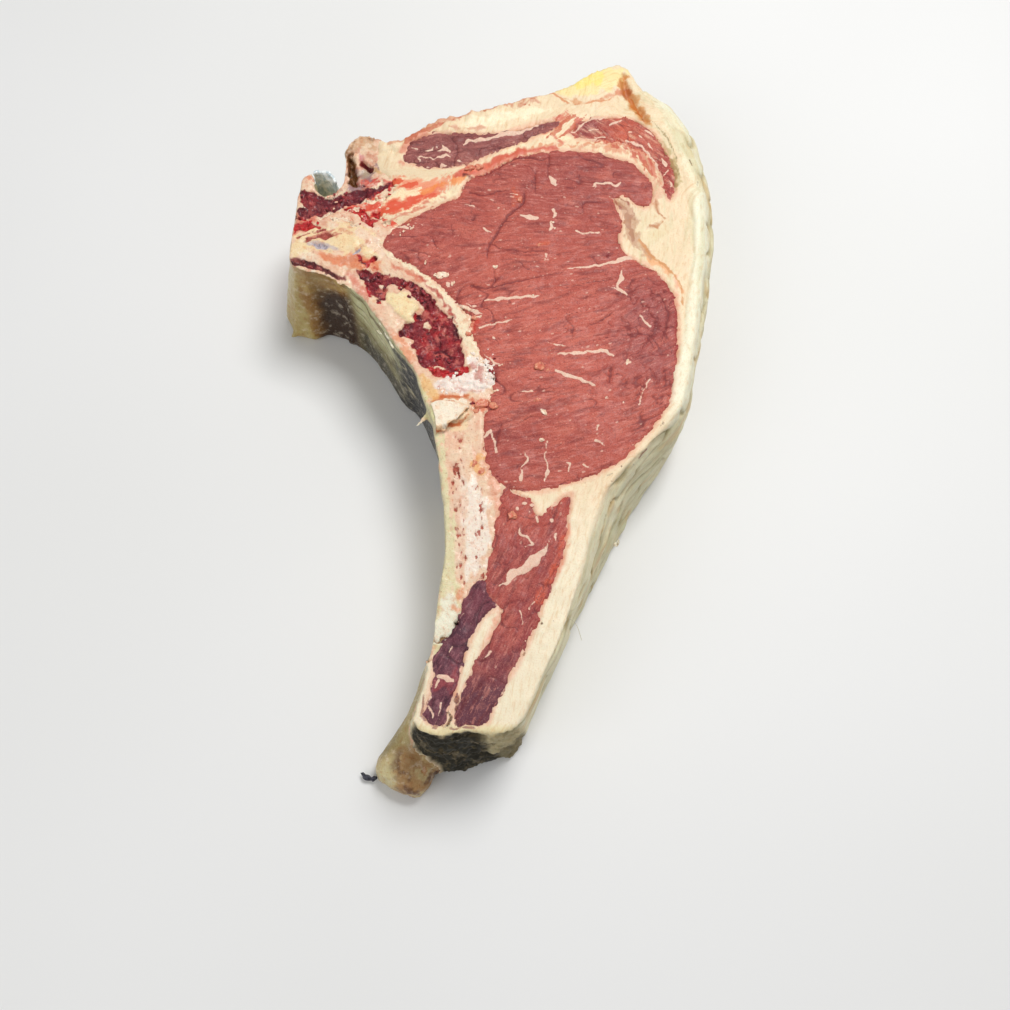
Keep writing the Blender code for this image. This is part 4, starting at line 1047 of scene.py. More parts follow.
BONE_WASHES = (
    ((((-27.5, 196, 3), (-25.5, 184, 2.4), (-23.6, 172, 3.5), (-21.6, 160, 4), (-20.8, 148, 4),
       (-21.5, 134, 6), (-21, 120, 9), (-24.5, 109, 4)),), (228, 222, 176), 1.2, 0.85, (14, 1.6)),
    ((((-44, 222, 5), (-38, 213, 5), (-33, 203, 5), (-28.5, 195, 3)),), (226, 222, 168), 1.4, 0.85),
    ((((-14, 170, 6), (-12, 160, 9), (-11, 148, 9), (-12, 139, 6)),), (250, 240, 226), 2.2, 0.8, (7, 1.8)),
    ((((-17.6, 178, 3), (-17.4, 165, 3), (-17, 150, 3), (-17, 138, 2.6)),), (238, 204, 178), 1.6, 0.7,
     (5, 1.4)),
    ((((-20, 127, 5), (-20, 121, 8), (-22, 115, 7)),), (242, 238, 216), 1, 0.9),
    ((((-6, 195, 3), (-7.4, 184, 5), (-5.6, 174, 5), (-3, 165, 4), (-3, 156, 3)),), (238, 176, 146), 1.4,
     0.8, (8, 1.6)),
    ((((-10, 181, 2), (-12, 177, 3.4), (-9.6, 174, 2)),), (240, 178, 110), 1, 0.7),
    ((((-17, 134, 2), (-16.6, 129, 2.6), (-18, 124, 2)),), (228, 150, 110), 1.2, 0.75),
    ((((-20, 196, 12), (-22, 199, 8)),), (248, 224, 182), 1.2, 0.8),
    # Orange-brown lines: the first, under the curled torn edge of the rib's flake, is painted shadow cast
    # by the flake; the second runs along its attached edge.
    ((((-26, 191, 1.6), (-22, 192, 1.6), (-18, 193.6, 1.2), (-15.6, 196, 0.8)),
      ((-28.6, 203.4, 1.6), (-22, 203.2, 1.6), (-16, 203.4, 1.6))), (204, 98, 48), 0.8, 0.85),
    ((((-33, 212, 2), (-30, 207, 4), (-28, 204, 3)),), (236, 190, 120), 1.4, 0.7),
    ((((-13, 200.6, 3), (-9, 200.4, 4), (-5, 200.6, 3)),), (226, 128, 96), 1, 0.85),
    ((((-27.6, 208.4, 3), (-20, 209.4, 8), (-13, 210, 9), (-8.4, 211, 6)), ((-14, 218, 4), (-10, 214, 5))),
     (250, 240, 232), 1.4, 0.85),
    ((((-49, 265.6, 2), (-37.4, 257.4, 2.6), (-28, 248.6, 3), (-21.6, 240, 3.4), (-17.4, 231, 4),
       (-13.6, 223, 4.4)),), (250, 234, 200), 1, 0.85, (8, 1)),
    ((((-36, 254.4, 0.5), (-29, 248.2, 0.9), (-24, 241.6, 0.9), (-20.4, 234, 0.5)),), (178, 64, 54), 0.5,
     0.8),
    ((((-46, 260, 1.2), (-40, 256.4, 1.6), (-34, 252, 1.2)),), (214, 110, 84), 0.9, 0.7),
    ((((-86, 266, 6), (-76, 272, 11), (-66, 272, 13), (-58, 270, 11), (-53, 266, 7)),
      ((-88, 274, 2), (-80, 272, 5))), (246, 220, 170), 2, 0.85),
    ((((-60, 274, 4), (-54, 270, 5), (-52, 264, 3)),), (244, 212, 190), 1.8, 0.7),
    ((((-80, 268.6, 2), (-75, 268.4, 3.4), (-69, 267, 2)), ((-66, 261.6, 2), (-62, 262.6, 2.6))),
     (196, 182, 188), 1, 0.7),
    ((((-80, 271.6, 1), (-73, 273.6, 1.6), (-68, 274, 1)),), (198, 106, 92), 0.9, 0.75, (5, 0.8)),
    ((((-76, 264, 2), (-68, 262, 4), (-60, 261, 6), (-54, 261, 5), (-50, 258, 2)),), (226, 128, 84), 2,
     0.75),
    ((((-60, 263, 1.4), (-57.6, 260.6, 2.6), (-54.6, 262, 1.6), (-52, 259, 1.6)),), (196, 52, 34), 1, 0.8),
    ((((-86, 284, 3), (-84, 279, 3), (-87, 274, 3)), ((-80, 282, 3),)), (222, 120, 98), 1.6, 0.8),
    ((((-66, 287, 4), (-56, 288, 7), (-50, 284, 8), (-48, 280, 4)),), (226, 74, 52), 2, 0.85, (7, 1.4)),
    ((((-64, 300, 3), (-57, 298.6, 4), (-50, 297.4, 4), (-47, 299, 3)),), (206, 66, 56), 1.6, 0.85,
     (6, 1.2)),
    ((((-66, 304, 2), (-59, 303, 6), (-55, 306, 3)), ((-66, 297.4, 3), (-62, 297, 4))), (150, 118, 122),
     1.6, 0.85),
    ((((-67, 312, 3), (-64, 316, 5), (-60, 319, 4), (-57, 314, 3)),), (214, 172, 134), 1.2, 0.9),
    ((((-65.4, 317, 1.4), (-61, 320, 1.6), (-57.6, 318, 1.2)), ((-68, 311, 1), (-66.6, 315, 1.2))),
     (150, 104, 70), 1.4, 0.85),
    ((((-62.6, 313.6, 1), (-61.4, 310, 1.4)),), (206, 110, 120), 0.9, 0.7),
    # Brown in the carved hollow of the canal's inner wall: partly its own brown, partly painted shade.
    ((((-66.4, 312, 1.4), (-65.8, 306, 3.2), (-65, 300, 3)),), (120, 72, 30), 0.9, 0.9),
    ((((-57, 305.6, 2), (-53, 303, 2)),), (206, 160, 100), 1, 0.8),
    ((((-87, 262, 1.6), (-80, 260.4, 1.6), (-73, 257.4, 1.4), (-66, 254, 1.2)),), (120, 52, 54), 0.6, 0.85),
    ((((-87, 258.6, 2), (-78, 256, 2), (-70, 252.6, 2), (-60, 246, 2), (-52, 237, 2)),), (244, 234, 196),
     0.8, 0.8),
    ((((-64, 255, 3), (-60, 251, 3), (-55, 246, 2.6)),), (220, 130, 110), 1.6, 0.7),
    ((((-44, 229, 3), (-40, 225, 4), (-37, 219, 3)),), (232, 156, 118), 1.6, 0.75),
    ((((-47, 223, 3), (-44, 221, 2)),), (176, 50, 48), 0.9, 0.8),
    ((((-84, 302, 2), (-82, 299.6, 3), (-80.6, 301, 2)),), (232, 140, 104), 0.9, 0.8),
    ((((-72, 294, 1.6), (-66, 295, 2.4)),), (206, 170, 150), 1, 0.7),
)
MARROW = (140, 38, 48)
BLOOD = (200, 34, 36)
MARROW_TONES = (  # as (grain, low, high, tone, seed)
    (5.0, 0.0, 0.5, (190, 52, 54), 61),
    (3.4, 0.2, 0.6, (78, 16, 30), 62),
    (2.6, 0.35, 0.6, (206, 112, 98), 63),
)
BONE_MARKS = (
    ((((-84, 292, 5), (-79, 288.6, 7), (-71, 288.4, 6.6), (-63, 292.4, 6.4), (-56, 294, 4),
       (-51, 296.4, 2)), ((-85, 284, 4), (-80, 284, 5), (-74, 286, 4))), (108, 28, 40), 1.3),
    ((((-88, 277.4, 4), (-82, 278, 5), (-77, 277, 2.4)),
      ((-66, 286, 2), (-62, 284.6, 3.4), (-58, 281, 4.6), (-55.6, 277.6, 2.6)),
      ((-56, 283.4, 2.4), (-50, 283, 3), (-46, 285, 2)),
      ((-56, 293, 1.6), (-50, 296.6, 2.8), (-45, 298.6, 1.6)), ((-86, 281, 2), (-80, 280, 2))), BLOOD, 1.4),
    ((((-60, 257.4, 2.4), (-54, 254.5, 6.5), (-46, 254, 4), (-38, 249.6, 4.4), (-31.5, 243.4, 6),
       (-27, 235, 9.4), (-24, 226, 11), (-22, 218.6, 9.6)), ((-54, 252, 5.4), (-50.2, 246.4, 3.6)),
      ((-39.4, 232.6, 4), (-33, 229, 9), (-29, 221, 9)), ((-36, 226, 3), (-32, 218, 4)),
      ((-37, 233, 4), (-33, 237, 4))), MARROW, 1),
    ((((-32, 216.6, 2.4), (-26, 213.6, 4), (-19, 213.4, 3.4), (-16, 216, 2)),
      ((-42, 230.6, 2.4), (-38.4, 229.6, 1.8)), ((-49, 250, 1.6), (-50, 246, 1.2)),
      ((-60, 263.4, 1.4), (-57.4, 260.4, 2.4), (-54, 262.4, 1.4)),
      ((-58, 257, 1), (-56, 250, 1.4), (-51, 244, 1)), ((-37, 240, 1), (-35.6, 236, 1.4))), (194, 36, 40),
     1.1),
    ((((-87, 261, 2.2), (-80, 260, 2.8), (-73, 257.4, 2.4), (-67, 253.6, 1.2)),), (98, 42, 42), 0.6),
    ((((-80.4, 271, 1.2), (-76, 272.6, 2), (-71.4, 272.6, 1.2)),
      ((-84, 272.6, 0.8), (-79, 274.6, 1.2), (-74, 275.6, 0.7))), (172, 84, 72), 0.9),
    ((((-61.6, 308.4, 2.4), (-58.4, 305.6, 2.8)), ((-62.6, 298, 1.6), (-60, 297.4, 1.2))), (84, 26, 40),
     0.6),
    # Brown in the carved hollow of the canal's inner wall: partly its own brown, partly painted shade.
    ((((-66.2, 311.6, 1.4), (-65.6, 306, 3), (-64.4, 299.6, 4)),), (112, 70, 32), 0.5),
    ((((-66, 284.6, 1.8), (-62.6, 286.8, 1.6)), ((-60.6, 289.4, 1), (-55, 289.6, 2), (-49.6, 290.6, 2.4)),
      ((-53, 280.4, 1.6), (-49, 278.4, 2)), ((-71, 280.6, 2), (-66, 281.4, 2.4), (-62, 277.6, 2)),
      ((-76, 281.6, 1), (-72, 284, 1.4)), ((-55, 296, 1), (-52, 298.6, 1.2)),
      ((-80, 288.6, 0.8), (-77, 290.6, 0.7)), ((-70, 291, 0.7), (-67.6, 289, 0.8))), (248, 226, 196), 0.8),
    ((((-81, 297.6, 1), (-76.6, 293.2, 1.2), (-73, 291, 1.2), (-70, 292.8, 1.1), (-67.6, 296, 0.9)),),
     (238, 214, 184), 0.4),
    ((((-33, 229.4, 1.6), (-31, 226.6, 2.2), (-30, 224, 1)), ((-26, 218, 1),), ((-35, 231, 0.8),),
      ((-24.6, 232, 0.7),), ((-20, 221.6, 0.8),)), (214, 140, 118), 0.7),
    ((((-27.6, 226, 1.6), (-25.4, 222.6, 1.8)),), (104, 78, 98), 0.9),
    ((((-26, 112.4, 0.6), (-22, 113.2, 0.9), (-17.4, 116, 0.6)),), (146, 106, 62), 0.4),
    ((((-62, 264, 1.6), (-60, 267, 1)), ((-79, 268.8, 1.6), (-75, 268, 2.2), (-72.6, 267.4, 1.2))),
     (196, 188, 196), 0.7),
)
CARVED = (
    (((-65.6, 309.6, 1.6), (-65, 304, 3), (-63.6, 299, 2.6)),),
    (((-61.2, 308, 1.8), (-58.6, 305.6, 2.2)),),
)
PORES = (
    ((-18, 188, 4), (-18.6, 176, 5), (-18, 160, 6), (-17, 145, 6), (-16, 134, 4)),
    ((-10.6, 168, 3), (-10, 145, 4), (-7.6, 134, 4)),
)
BONE_DUST = (
    ((-27.6, 208.4, 2.6), (-20, 209, 7), (-13, 209.6, 8), (-8.6, 211, 5.6)),
    ((-14, 217, 4), (-10, 214, 4)),
)
BONE_CORE = (
    ((-46.6, 246.6, 3), (-43.6, 244.6, 7.6), (-40, 240.4, 8), (-38.6, 236.6, 4)),
)


def wall_tones(coat, outside):
    """Colours of the old belly-side wall: tan hollow with painted shadow low down, pale green membranes
    with painted shade low down and in their folds, and pleura painted near black as deep shade over dark
    dried tissue.
    """
    places = coat.places
    x, y, z = places.T
    wavy = 3.0 * rough_noise(places, 8.0, 3, 3)
    spine = ease_in(-x, 60, 67) * ease_in(-y, -262, -256)
    green = ease_in(x, -67, -61) * ease_in(-x, 36, 44)
    shaded_pleura = ease_in(x + 1.5 * wavy, -50, -40) * ease_in(y + 3.5 * wavy, 170, 198) * ease_in(-y, -262, -250)
    shaft = ease_in(-y, -186, -178)
    coat.blend(outside * 0.9, (206, 198, 156))
    coat.blend(outside * spine * 0.95, (158, 112, 48))
    coat.patches(outside * spine * 0.8, (206, 180, 108), (6.0, 3, 4), -0.1, 0.7)
    shadow = ease_in(34 - z + 2 * wavy, -3, 9) * ease_in(x + wavy, -83, -76)
    coat.blend(outside * spine * 0.95 * shadow, (52, 30, 12))
    coat.blend(outside * spine * 0.7 * ease_in(-x + 0.3 * wavy, 84, 87), (196, 182, 122))
    split = outside * ease_in(-x, 84.6, 86.6) * ease_in(y, 262, 266)
    coat.blend(split * 0.95, (232, 204, 168))
    coat.patches(split * 0.8, (204, 132, 104), (5.0, 4, 54), -0.1, 0.5)
    coat.patches(split * 0.85, (132, 40, 44), (7.0, 4, 55), 0.25, 0.6)
    coat.blend(outside * green * 0.95, (160, 154, 106))
    coat.blend(outside * green * 0.9 * ease_in(z + wavy, 22, 30), (212, 212, 164))
    # Dark lines in the folds of the hanging membranes: painted shade.
    drape_fold_shade = ease_in(ridges(np.stack([x - 0.6 * y, z], axis=1), 34, 5.0, 16), 0.55, 0.95)
    coat.blend(outside * green * 0.8 * drape_fold_shade * ease_in(z, 12, 24), (112, 100, 58))
    # Painted shade: the green membranes darken towards the bottom.
    coat.blend(outside * green * 0.9 * ease_in(20 - z + wavy, 0, 8), (62, 56, 36))
    # Pleura painted near black: deep shade on the undercut wall, over its dark dried tissue, with cream
    # streaks below.
    coat.blend(outside * shaded_pleura * 0.98 * ease_in(43 - z + 0.6 * wavy, 0, 3), (12, 10, 8))
    coat.patches(outside * shaft * 0.5, (184, 172, 122), (5.0, 3, 8), 0, 0.7)
    coat.blend(outside * ease_in(-y, -110, -98) * 0.75, (176, 156, 100))
    along = np.stack([x - y, z], axis=1)
    lines = ease_in(ridges(along, 60, 7.0, 6), 0.82, 1.0) * ease_in(lattice_noise(along, 9.0, 4), -0.6, 0.2)
    coat.blend(outside * shaded_pleura * lines * 0.85, (214, 204, 164))
    coat.blend(0.95 * spot(places, -35, 191.6, 4.0) * ease_in(-x, 30.6, 32.4), (238, 236, 222))


def knob_tones(coat, share):
    """Amber, dry and translucent knob at the tip of the rib."""
    places = coat.places
    x, _, z = places.T
    coat.blend(share, (178, 140, 90))
    coat.patches(share, (206, 184, 132), (4.5, 4, 51), 0.0, 0.5)
    coat.patches(share * 0.9, (112, 76, 46), (5.0, 4, 52), 0.1, 0.5)
    coat.blend(share * 0.85 * ease_in(-x + 1.5 * rough_noise(places, 3.0, 3, 53), 38, 43), (214, 202, 152))
    coat.patches(share * 0.8, (178, 112, 54), (3.0, 3, 56), 0.45, 0.7)
    coat.blend(share * 0.7 * ease_in(z, 34, 42), (222, 206, 158))


def bone_piece(node, name, slot, voxel):
    """The rib or the half vertebra: sawn face with marrow and dust, and the old wall beside it."""
    body = even_skin(node, name, voxel, lift=-0.1, fine_walls=lambda at: at[:, 2] > 1.5)
    places, normals = places_of(body), normals_of(body)
    plan = places[:, :2]
    x, y, z = places.T
    up = ease_in(z, 40.0, 44.0) * ease_in(normals[:, 2], 0.1, 0.6)
    low = ease_in(z, 1.0, 4.0)
    others = np.minimum(distance_to(TREES["lean"], places), distance_to(TREES["fat"], places))
    outside = (1 - up) * ease_in(others, 0.8, 2.0)
    knob = ease_in(-y + 0.4 * x, -96, -90)
    flow = straight_flow(places, 95 if node == "rib_bone" else 20)
    bend = ease_in(y, 200, 222) * (node == "rib_bone")
    flow[:, :2] += bend[:, None] * (straight_flow(places, 128) - flow)[:, :2]
    coat = Coat(body, places, (242, 214, 182), flow)
    coat.blend(0.5 + 0.6 * rough_noise(plan, 5.0, 3, 9), (238, 196, 166))
    coat.strands(0.4, (226, 160, 132), (5, 1.2, 14), 0.1, 0.8)
    for wash in BONE_WASHES:
        coat.wash(*wash)
    wall_tones(coat, outside)
    knob_tones(coat, knob)
    core = brush(places, BONE_CORE, warp=1.2)
    coat.wash(BONE_CORE, (248, 226, 176), 0.9, 0.95)
    for strokes, tone, jag in BONE_MARKS:
        depth = coat.torn(strokes, jag, None, sum(tone) % SEEDS, 0.9) + OFF * (1 - coat.face)
        coat.mark_where(np.minimum(depth, -core - 0.6 * rough_noise(plan, 2.4, 3, 66)), tone)
    red = coat.over[:, 1] < 60
    for grain, low, high, tone, seed in MARROW_TONES:
        share = (0.8 if node == "rib_bone" else 0.5) * red
        share *= ease_in(rough_noise(plan, grain, 3, seed), low, high)
        coat.over += share[:, None] * (np.array(tone) - coat.over)
    porous = coat.face * ease_in(brush(places, PORES), -1.0, 1.5)
    coat.crease = 0.9 * porous
    squiggles = rough_noise(flow[:, :2] / (1.7, 1), 1.3, 2, 68) + 0.5 * porous - 1.02
    coat.mark_where(np.where(porous > 0.2, squiggles, OFF), (182, 92, 72))
    spongy = coat.face * ease_in(coat.depth, -0.6, 1.0)
    dusty = coat.face * ease_in(brush(places, BONE_DUST), -0.5, 0.8)
    grains = rough_noise(plan, 1.9, 2, 7)
    shaded = ease_in(-grains, -0.15, 0.25) * ease_in(rough_noise(plan, 4.0, 2, 69), -0.4, 0.3)
    coat.blend(0.75 * dusty * shaded, (206, 138, 126))
    gristle = 0.5 * coat.face * ease_in(-x, 48, 56)
    coat.blend(gristle * ease_in(rough_noise(plan, 3.6, 4, 70), 0.3, 0.6), (206, 128, 102))
    coat.blend(gristle * ease_in(rough_noise(plan, 3.0, 4, 73), 0.45, 0.7), (252, 240, 216))
    height = up * (cut_relief(places) + 0.3 * rough_noise(plan, 2.8, 3, 2))
    height += up * 1.1 * spongy * (rough_noise(plan, 2.2, 3, 5) - 1)
    height += up * (dusty * np.abs(grains) + 0.7 * coat.face * ease_in(core, -0.8, 1.2))
    hanging = np.stack([x - y, z], axis=1)
    folds = 0.8 * lattice_noise(hanging / (5, 22), 1.0, 8)
    height += low * outside * (folds + 0.7 * rough_noise(places, 8.0, 3, 9))
    hollow = spot(places, -72, 240, 11) * np.exp(-((z - 20) / 14) ** 2)
    height -= low * outside * (1 - knob) * 2.2 * hollow
    height += knob * 0.8 * rough_noise(places, 5.0, 4, 12)
    for strokes in CARVED:
        height -= up * 2.8 * ease_in(brush(places, strokes), -0.9, 0.9)
    tips = spot(places, -83, 300, 3.5) + spot(places, -62, 317, 6)
    height += low * tips * 1.1 * rough_noise(places, 2.6, 3, 13)
    raise_skin(body, places, height)
    coat.keep()
    settle(body, slot, bone_finish(slot), node)


def film():
    """The film of the spinal canal."""
    body = even_skin("canal_film", "canal_film_skin", 0.5, overlap=0.0)
    places = places_of(body)
    places[:, 0] -= 1.8 * ease_in(-places[:, 0], 73, 79)
    places[:, 1] += 3.0 * ease_in(places[:, 2], 26, 48)
    move_to(body, places)
    crinkles = 0.7 * rough_noise(places, 3.2, 3, 3) + 0.5 * np.abs(lattice_noise(places, 2.2, 5))
    raise_skin(body, places, crinkles)
    made = Finish("canal_film", 0.16, IOR=1.38, Coat_Weight=0.7, Coat_Roughness=0.06)
    colour = made.mottled(2.4, (186, 204, 210), (246, 250, 248))
    settle(body, "film", made.finish(colour, made.noise(1.5, 3), 0.6, 0.5), "canal_film")


# Loose bits, as (x, y, size, length in sizes, angle in degrees) on the cut face, in mm

CREAM_BITS = (
    (-27.6, 255.2, 2.6, 1.5, 10), (-25.6, 255.8, 2.2, 1.4, -20), (-29.4, 255.4, 1.4, 1.2, 0),
    (-22.6, 251.6, 1.5, 1.7, 60), (-39.6, 276.8, 1.8, 1.8, 25), (-42.6, 275, 1.1, 1.6, 60),
    (-41, 278, 1.2, 1.3, 0), (-44, 273.2, 0.8, 1.6, 80), (12.8, 198, 1.9, 1.8, -45),
    (43.8, 218.6, 1.6, 1.7, 75), (15.8, 278.6, 1.5, 1.6, 85), (16.8, 276.2, 1, 1.4, 40),
    (-6.2, 259, 1.5, 1.4, 0), (-17, 241, 1.7, 2.6, -24), (-13.4, 239.6, 1.3, 3, -20),
    (-12.4, 237.2, 1, 3.4, 16), (-10.4, 217.4, 1.2, 2, -30), (-3.6, 216.8, 1.1, 1.8, 30),
    (-7, 190, 0.8, 3, -60), (8.6, 246.4, 0.8, 1.6, 0), (-33.6, 261, 0.8, 2.4, 80), (12, 187.2, 1.4, 1.3, 0),
    (-5, 206.4, 1, 2.4, 10),
)
FLESH_BITS = (
    (10.8, 216.4, 3.4, 1.3, 85), (14.4, 214.8, 1.4, 1.3, 0), (11.4, 268.6, 1.8, 2, 20),
    (1.6, 158.6, 3.2, 1.1, 0), (13.6, 266.4, 1, 1.4, 0), (-10.4, 200.6, 3.2, 1.6, 10),
    (-6.2, 200.4, 2.6, 1.5, -8), (-12.4, 198.4, 2.2, 1.4, 40), (-14.4, 233.6, 3, 1.7, 80),
    (-16, 230, 2.2, 1.3, 0), (-13.6, 236.8, 2, 1.3, 20), (-17.4, 304, 2.8, 1.5, 10),
    (-13.4, 304.6, 2.4, 1.4, -20), (3, 289.4, 1.6, 1.8, 70), (10.4, 202.6, 2, 1.5, 30),
    (-12.6, 177.6, 1.8, 1.8, 85), (-10, 174.6, 1.8, 1.7, 70),
)
RED_BITS = (
    (-7, 214.6, 2, 1.5, 70), (-6.4, 218.8, 1.5, 1.6, 60), (-5, 211, 1.2, 1.6, 80),
    (-13.8, 201.4, 1.4, 1.6, 20), (37.4, 264.6, 1.2, 1.3, 20), (-3.6, 172.6, 0.9, 2.4, -30),
)
SHREDS = (
    (-49.6, 235, 1.1, 5, -52), (-47.2, 230.6, 1.2, 4.2, -60), (-50.6, 232.4, 0.8, 4, -40),
    (-45.6, 226.6, 1, 4, -66),
)
SHRED_LEVELS = (44.6, 44.2, 42.8, 44.0)  # heights of the shreds
DRY_SHRED = ((-52, 68.4, 2.0, 2.2, -15), (-49.6, 68, 1.8, 1.6, 20), (-53.6, 69.4, 1.2, 2.0, -40))
DRY_LEVELS = (2.0, 2.2, 2.4)
PALE_SHRED = ((41.6, 156.4, 1.6, 1.8, 40), (42.4, 157.2, 1.0, 2.0, 80))
PALE_LEVELS = (15.0, 15.6)

# Strewn bits, as (name, slot, flatness, two tones, and each count, path, spread, sizes and seed)

STREWN = (
    ("bone_dust", "rib", 0.8, (250, 242, 232), (240, 214, 196), (
        (90, ((-27, 208.5), (-20, 209.5), (-13, 209), (-9, 211), (-9, 216), (-13, 221)),
         1.6, (0.5, 1.5), 3),
        (14, ((-8, 208), (-6, 214), (-9, 222)), 1.4, (0.4, 0.8), 4))),
    ("marrow_crumbs", "rib", 0.4, (166, 52, 58), (76, 16, 28), (
        (40, ((-55, 254), (-46, 254), (-38, 249), (-31, 243), (-28, 235), (-26, 227), (-24, 219)),
         2.0, (0.5, 1.5), 5),
        (16, ((-83, 291), (-77, 287), (-70, 289), (-62, 293)), 1.8, (0.5, 1.2), 6))),
    ("blood_crumbs", "vertebra", 0.4, (206, 34, 34), (150, 18, 26), (
        (12, ((-30, 215), (-25, 213.4), (-18, 214)), 0.9, (0.4, 1.0), 7),
        (14, ((-84, 278), (-64, 286), (-58, 281), (-50, 284), (-48, 297)), 1.7, (0.4, 1.1), 8))),
    ("tissue_crumbs", "vertebra", 0.45, (246, 218, 186), (226, 150, 124), (
        (30, ((-76, 290), (-66, 284), (-60, 288), (-52, 291), (-50, 280), (-62, 278), (-74, 280)),
         2.2, (0.4, 1.1), 9),)),
)


def scattered(count, path, spread, sizes, seed):
    """Bits strewn along a path of places, as rows like the loose bits."""
    chance = random.Random(seed)
    rows = []
    for _ in range(count):
        step = chance.uniform(0, len(path) - 1.001)
        start, share = int(step), step - int(step)
        x, y = (a + share * (b - a) for a, b in zip(path[start], path[start + 1]))
        rows.append((x + chance.gauss(0, spread), y + chance.gauss(0, spread), chance.uniform(*sizes),
                     chance.uniform(1.0, 1.8), chance.uniform(0, 180)))
    return rows


def bits(name, slot, rows, first, second, flat=0.5, levels=None):
    """Small uneven bits of tissue or bone, sunk a little into the face they lie on."""
    if levels is None:
        levels = cut_height(np.array([(row[0], row[1], 0.0) for row in rows]))
    for number, ((x, y, size, length, angle), level) in enumerate(zip(rows, levels)):
        place = (np.array((x, y, level + 0.04 * size)) + SHIFT) * MM
        bpy.ops.mesh.primitive_ico_sphere_add(
            subdivisions=2, radius=size * MM / 2, location=place,
            rotation=(0, 0, math.radians(angle)), scale=(length, 1, flat))
        if number == 0:
            body = bpy.context.active_object
            bpy.ops.object.mode_set(mode="EDIT")
        bpy.ops.transform.vertex_random(offset=0.3 * size * MM, uniform=0.6, normal=0.4, seed=number)
    bpy.ops.mesh.select_all(action="SELECT")
    bpy.ops.mesh.normals_make_consistent(inside=False)
    bpy.ops.object.mode_set(mode="OBJECT")
    body.name = body.data.name = name
    only(body)
    bpy.ops.object.transform_apply()
    smooth = body.modifiers.new("Round", "SUBSURF")
    smooth.levels = 1
    bpy.ops.object.modifier_apply(modifier=smooth.name)
    body.data.shade_smooth()
    made = Finish(name, 0.4, **WET)
    colour = made.mottled(1.4, first, second)
    settle(body, slot, made.finish(colour, made.noise(0.5, 3), 0.5, 0.3))


def loose_bits():
    """Crumbs, bone dust, marrow and shreds on the cut face, and dry bits on the walls."""
    bits("cream_crumbs", "fat", CREAM_BITS, (248, 228, 202), (232, 190, 160))
    bits("flesh_crumbs", "fat", FLESH_BITS, (222, 150, 118), (204, 106, 84))
    bits("red_crumbs", "eye_lean", RED_BITS, (142, 36, 38), (96, 20, 26))
    bits("membrane_shreds", "rib", SHREDS, (236, 230, 206), (196, 190, 160), 0.5, SHRED_LEVELS)
    for name, slot, flat, first, second, strewn in STREWN:
        rows = [row for each in strewn for row in scattered(*each)]
        bits(name, slot, rows, first, second, flat)
    bits("dry_shred", "rib", DRY_SHRED, (34, 34, 44), (74, 74, 86), 0.8, DRY_LEVELS)
    bits("pale_shred", "fat", PALE_SHRED, (232, 226, 206), (206, 192, 162), 0.5, PALE_LEVELS)


def rib_flake():
    """The flake of membrane across the rib, which curls up along its torn edge."""
    bpy.ops.mesh.primitive_grid_add(x_subdivisions=40, y_subdivisions=32, size=1)
    body = bpy.context.active_object
    body.name = body.data.name = "rib_flake"
    across, down = (numbers(body.data.vertices, "co", 3)[:, :2] + 0.5).T
    top = np.stack([-29.6 + 13.2 * across, 202.4 + 0.8 * across], axis=1)
    torn = np.stack([-26.4 + 11.4 * across, 190.0 + 7.6 * across**1.4], axis=1)
    plan = torn + down[:, None] * (top - torn)
    plan += 0.7 * np.stack([lattice_noise(plan, 3.0, 71), lattice_noise(plan, 3.0, 72)], axis=1)
    plan[:, 1] += 0.8 * (1 - down) * lattice_noise(plan, 1.6, 73)
    lift = 0.45 + 1.3 * (1 - down) ** 3 + 0.25 * rough_noise(plan, 4.0, 3, 74)
    level = cut_height(np.hstack([plan, np.zeros((len(plan), 1))]))
    places = np.column_stack([plan, level + lift])
    move_to(body, places)
    coat = Coat(body, places, (253, 238, 214))
    coat.blend(0.6 * ease_in(rough_noise(plan, 4.0, 3, 75), 0, 0.7), (248, 212, 178))
    coat.blend(0.8 * ease_in(down + 0.06 * lattice_noise(plan, 1.5, 76), 0.92, 0.98), (206, 112, 62))
    coat.blend(0.6 * ease_in(-down + 0.08 * lattice_noise(plan, 1.5, 77), -0.06, -0.01), (236, 176, 122))
    coat.keep()
    thick = body.modifiers.new("Thickness", "SOLIDIFY")
    thick.thickness = 0.35 * MM
    only(body)
    bpy.ops.object.modifier_apply(modifier=thick.name)
    body.data.shade_smooth()
    settle(body, "rib", bone_finish("rib_flake"))


THREADS = (
    ((21.6, 124, 44), (25, 126, 43), (27, 131, 40)),
    ((21.6, 122, 43), (24.6, 120, 42), (26.4, 115, 38)),
    ((22, 126, 42), (24, 129, 43), (24.4, 134, 41)),
)


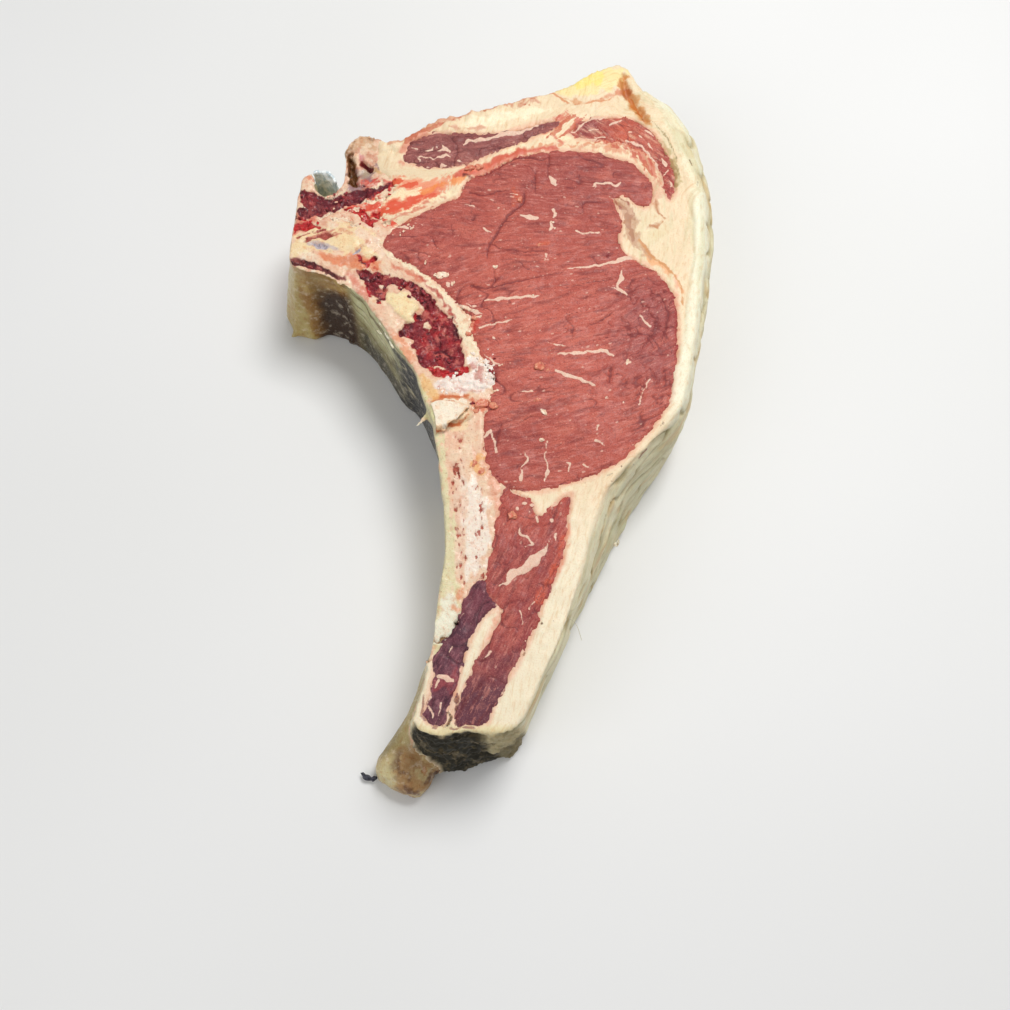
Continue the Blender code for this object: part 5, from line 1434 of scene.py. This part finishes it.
def hairs():
    """A few dry threads on the rind of the tail."""
    made = []
    for path in THREADS:
        bpy.ops.curve.primitive_bezier_curve_add()
        thread = bpy.context.active_object
        for point, place in zip(thread.data.splines[0].bezier_points, (path[0], path[2])):
            point.co = (Vector(place) + Vector(SHIFT)) * MM
            point.handle_left_type = point.handle_right_type = "FREE"
        middle = (Vector(path[1]) + Vector(SHIFT)) * MM
        for point in thread.data.splines[0].bezier_points:
            point.handle_left = point.handle_right = middle
        thread.data.bevel_depth = 0.09 * MM
        thread.data.use_fill_caps = True
        only(thread)
        bpy.ops.object.convert(target="MESH")
        made.append(bpy.context.active_object)
    bpy.ops.object.select_all(action="DESELECT")
    for thread in made:
        thread.select_set(True)
    bpy.context.view_layer.objects.active = made[0]
    bpy.ops.object.join()
    made[0].name = made[0].data.name = "dry_threads"
    dry = Finish("dry_threads", 0.5)
    colour = dry.mix(dry.noise(2.0), tint(222, 214, 190), tint(170, 160, 130))
    settle(made[0], "fat", dry.finish(colour))


# The setting

CAMERA_PLACE = (4.52, 58.73, 377.36)  # in plan places, so that the view is the photograph's
CAMERA_TURN = (17.351, 0.737, 0.796)
LAMPS = (("overhead", (0.32, 0.42, 1.0), 0.42, 9.6), ("fill", (-0.7, -0.6, 0.8), 1.0, 4.2))


def studio():
    """A pale floor, soft studio light and the photograph's point of view."""
    bpy.ops.mesh.primitive_plane_add(size=6.0)
    floor = bpy.context.active_object
    floor.name = "floor"
    made = Finish("pale_floor", 0.6)
    shade = made.mix(made.step(made.noise(400.0, 2), 0.3, 0.7), tint(226, 226, 224), tint(231, 231, 230))
    floor.data.materials.append(made.finish(shade))
    world = bpy.data.worlds.new("studio")
    bpy.context.scene.world = world
    world.use_nodes = True
    world.node_tree.nodes["Background"].inputs["Color"].default_value = (1.0, 1.0, 1.0, 1.0)
    world.node_tree.nodes["Background"].inputs["Strength"].default_value = 0.3
    for name, place, size, power in LAMPS:
        lamp = bpy.data.objects.new(name, bpy.data.lights.new(name, "AREA"))
        lamp.data.size = size
        lamp.data.energy = power
        lamp.location = place
        lamp.rotation_euler = (-Vector(place)).to_track_quat("-Z", "Y").to_euler()
        bpy.context.scene.collection.objects.link(lamp)
    camera = bpy.data.objects.new("camera", bpy.data.cameras.new("camera"))
    camera.data.lens = 34.40
    camera.data.sensor_width = 36.0
    camera.data.clip_start = 0.01
    camera.location = Vector(CAMERA_PLACE) * MM + Vector(SHIFT) * MM
    camera.rotation_euler = Euler([math.radians(angle) for angle in CAMERA_TURN])
    bpy.context.scene.collection.objects.link(camera)
    bpy.context.scene.camera = camera
    bpy.context.scene.view_settings.view_transform = "Standard"


eye_of_rib()
for row in SMALL_MUSCLES:
    small_muscle(*row)
fat_cap()
bone_piece("rib_bone", "rib", "rib", 1.0)
bone_piece("backbone", "half_vertebra", "vertebra", 1.0)
film()
loose_bits()
rib_flake()
hairs()
studio()
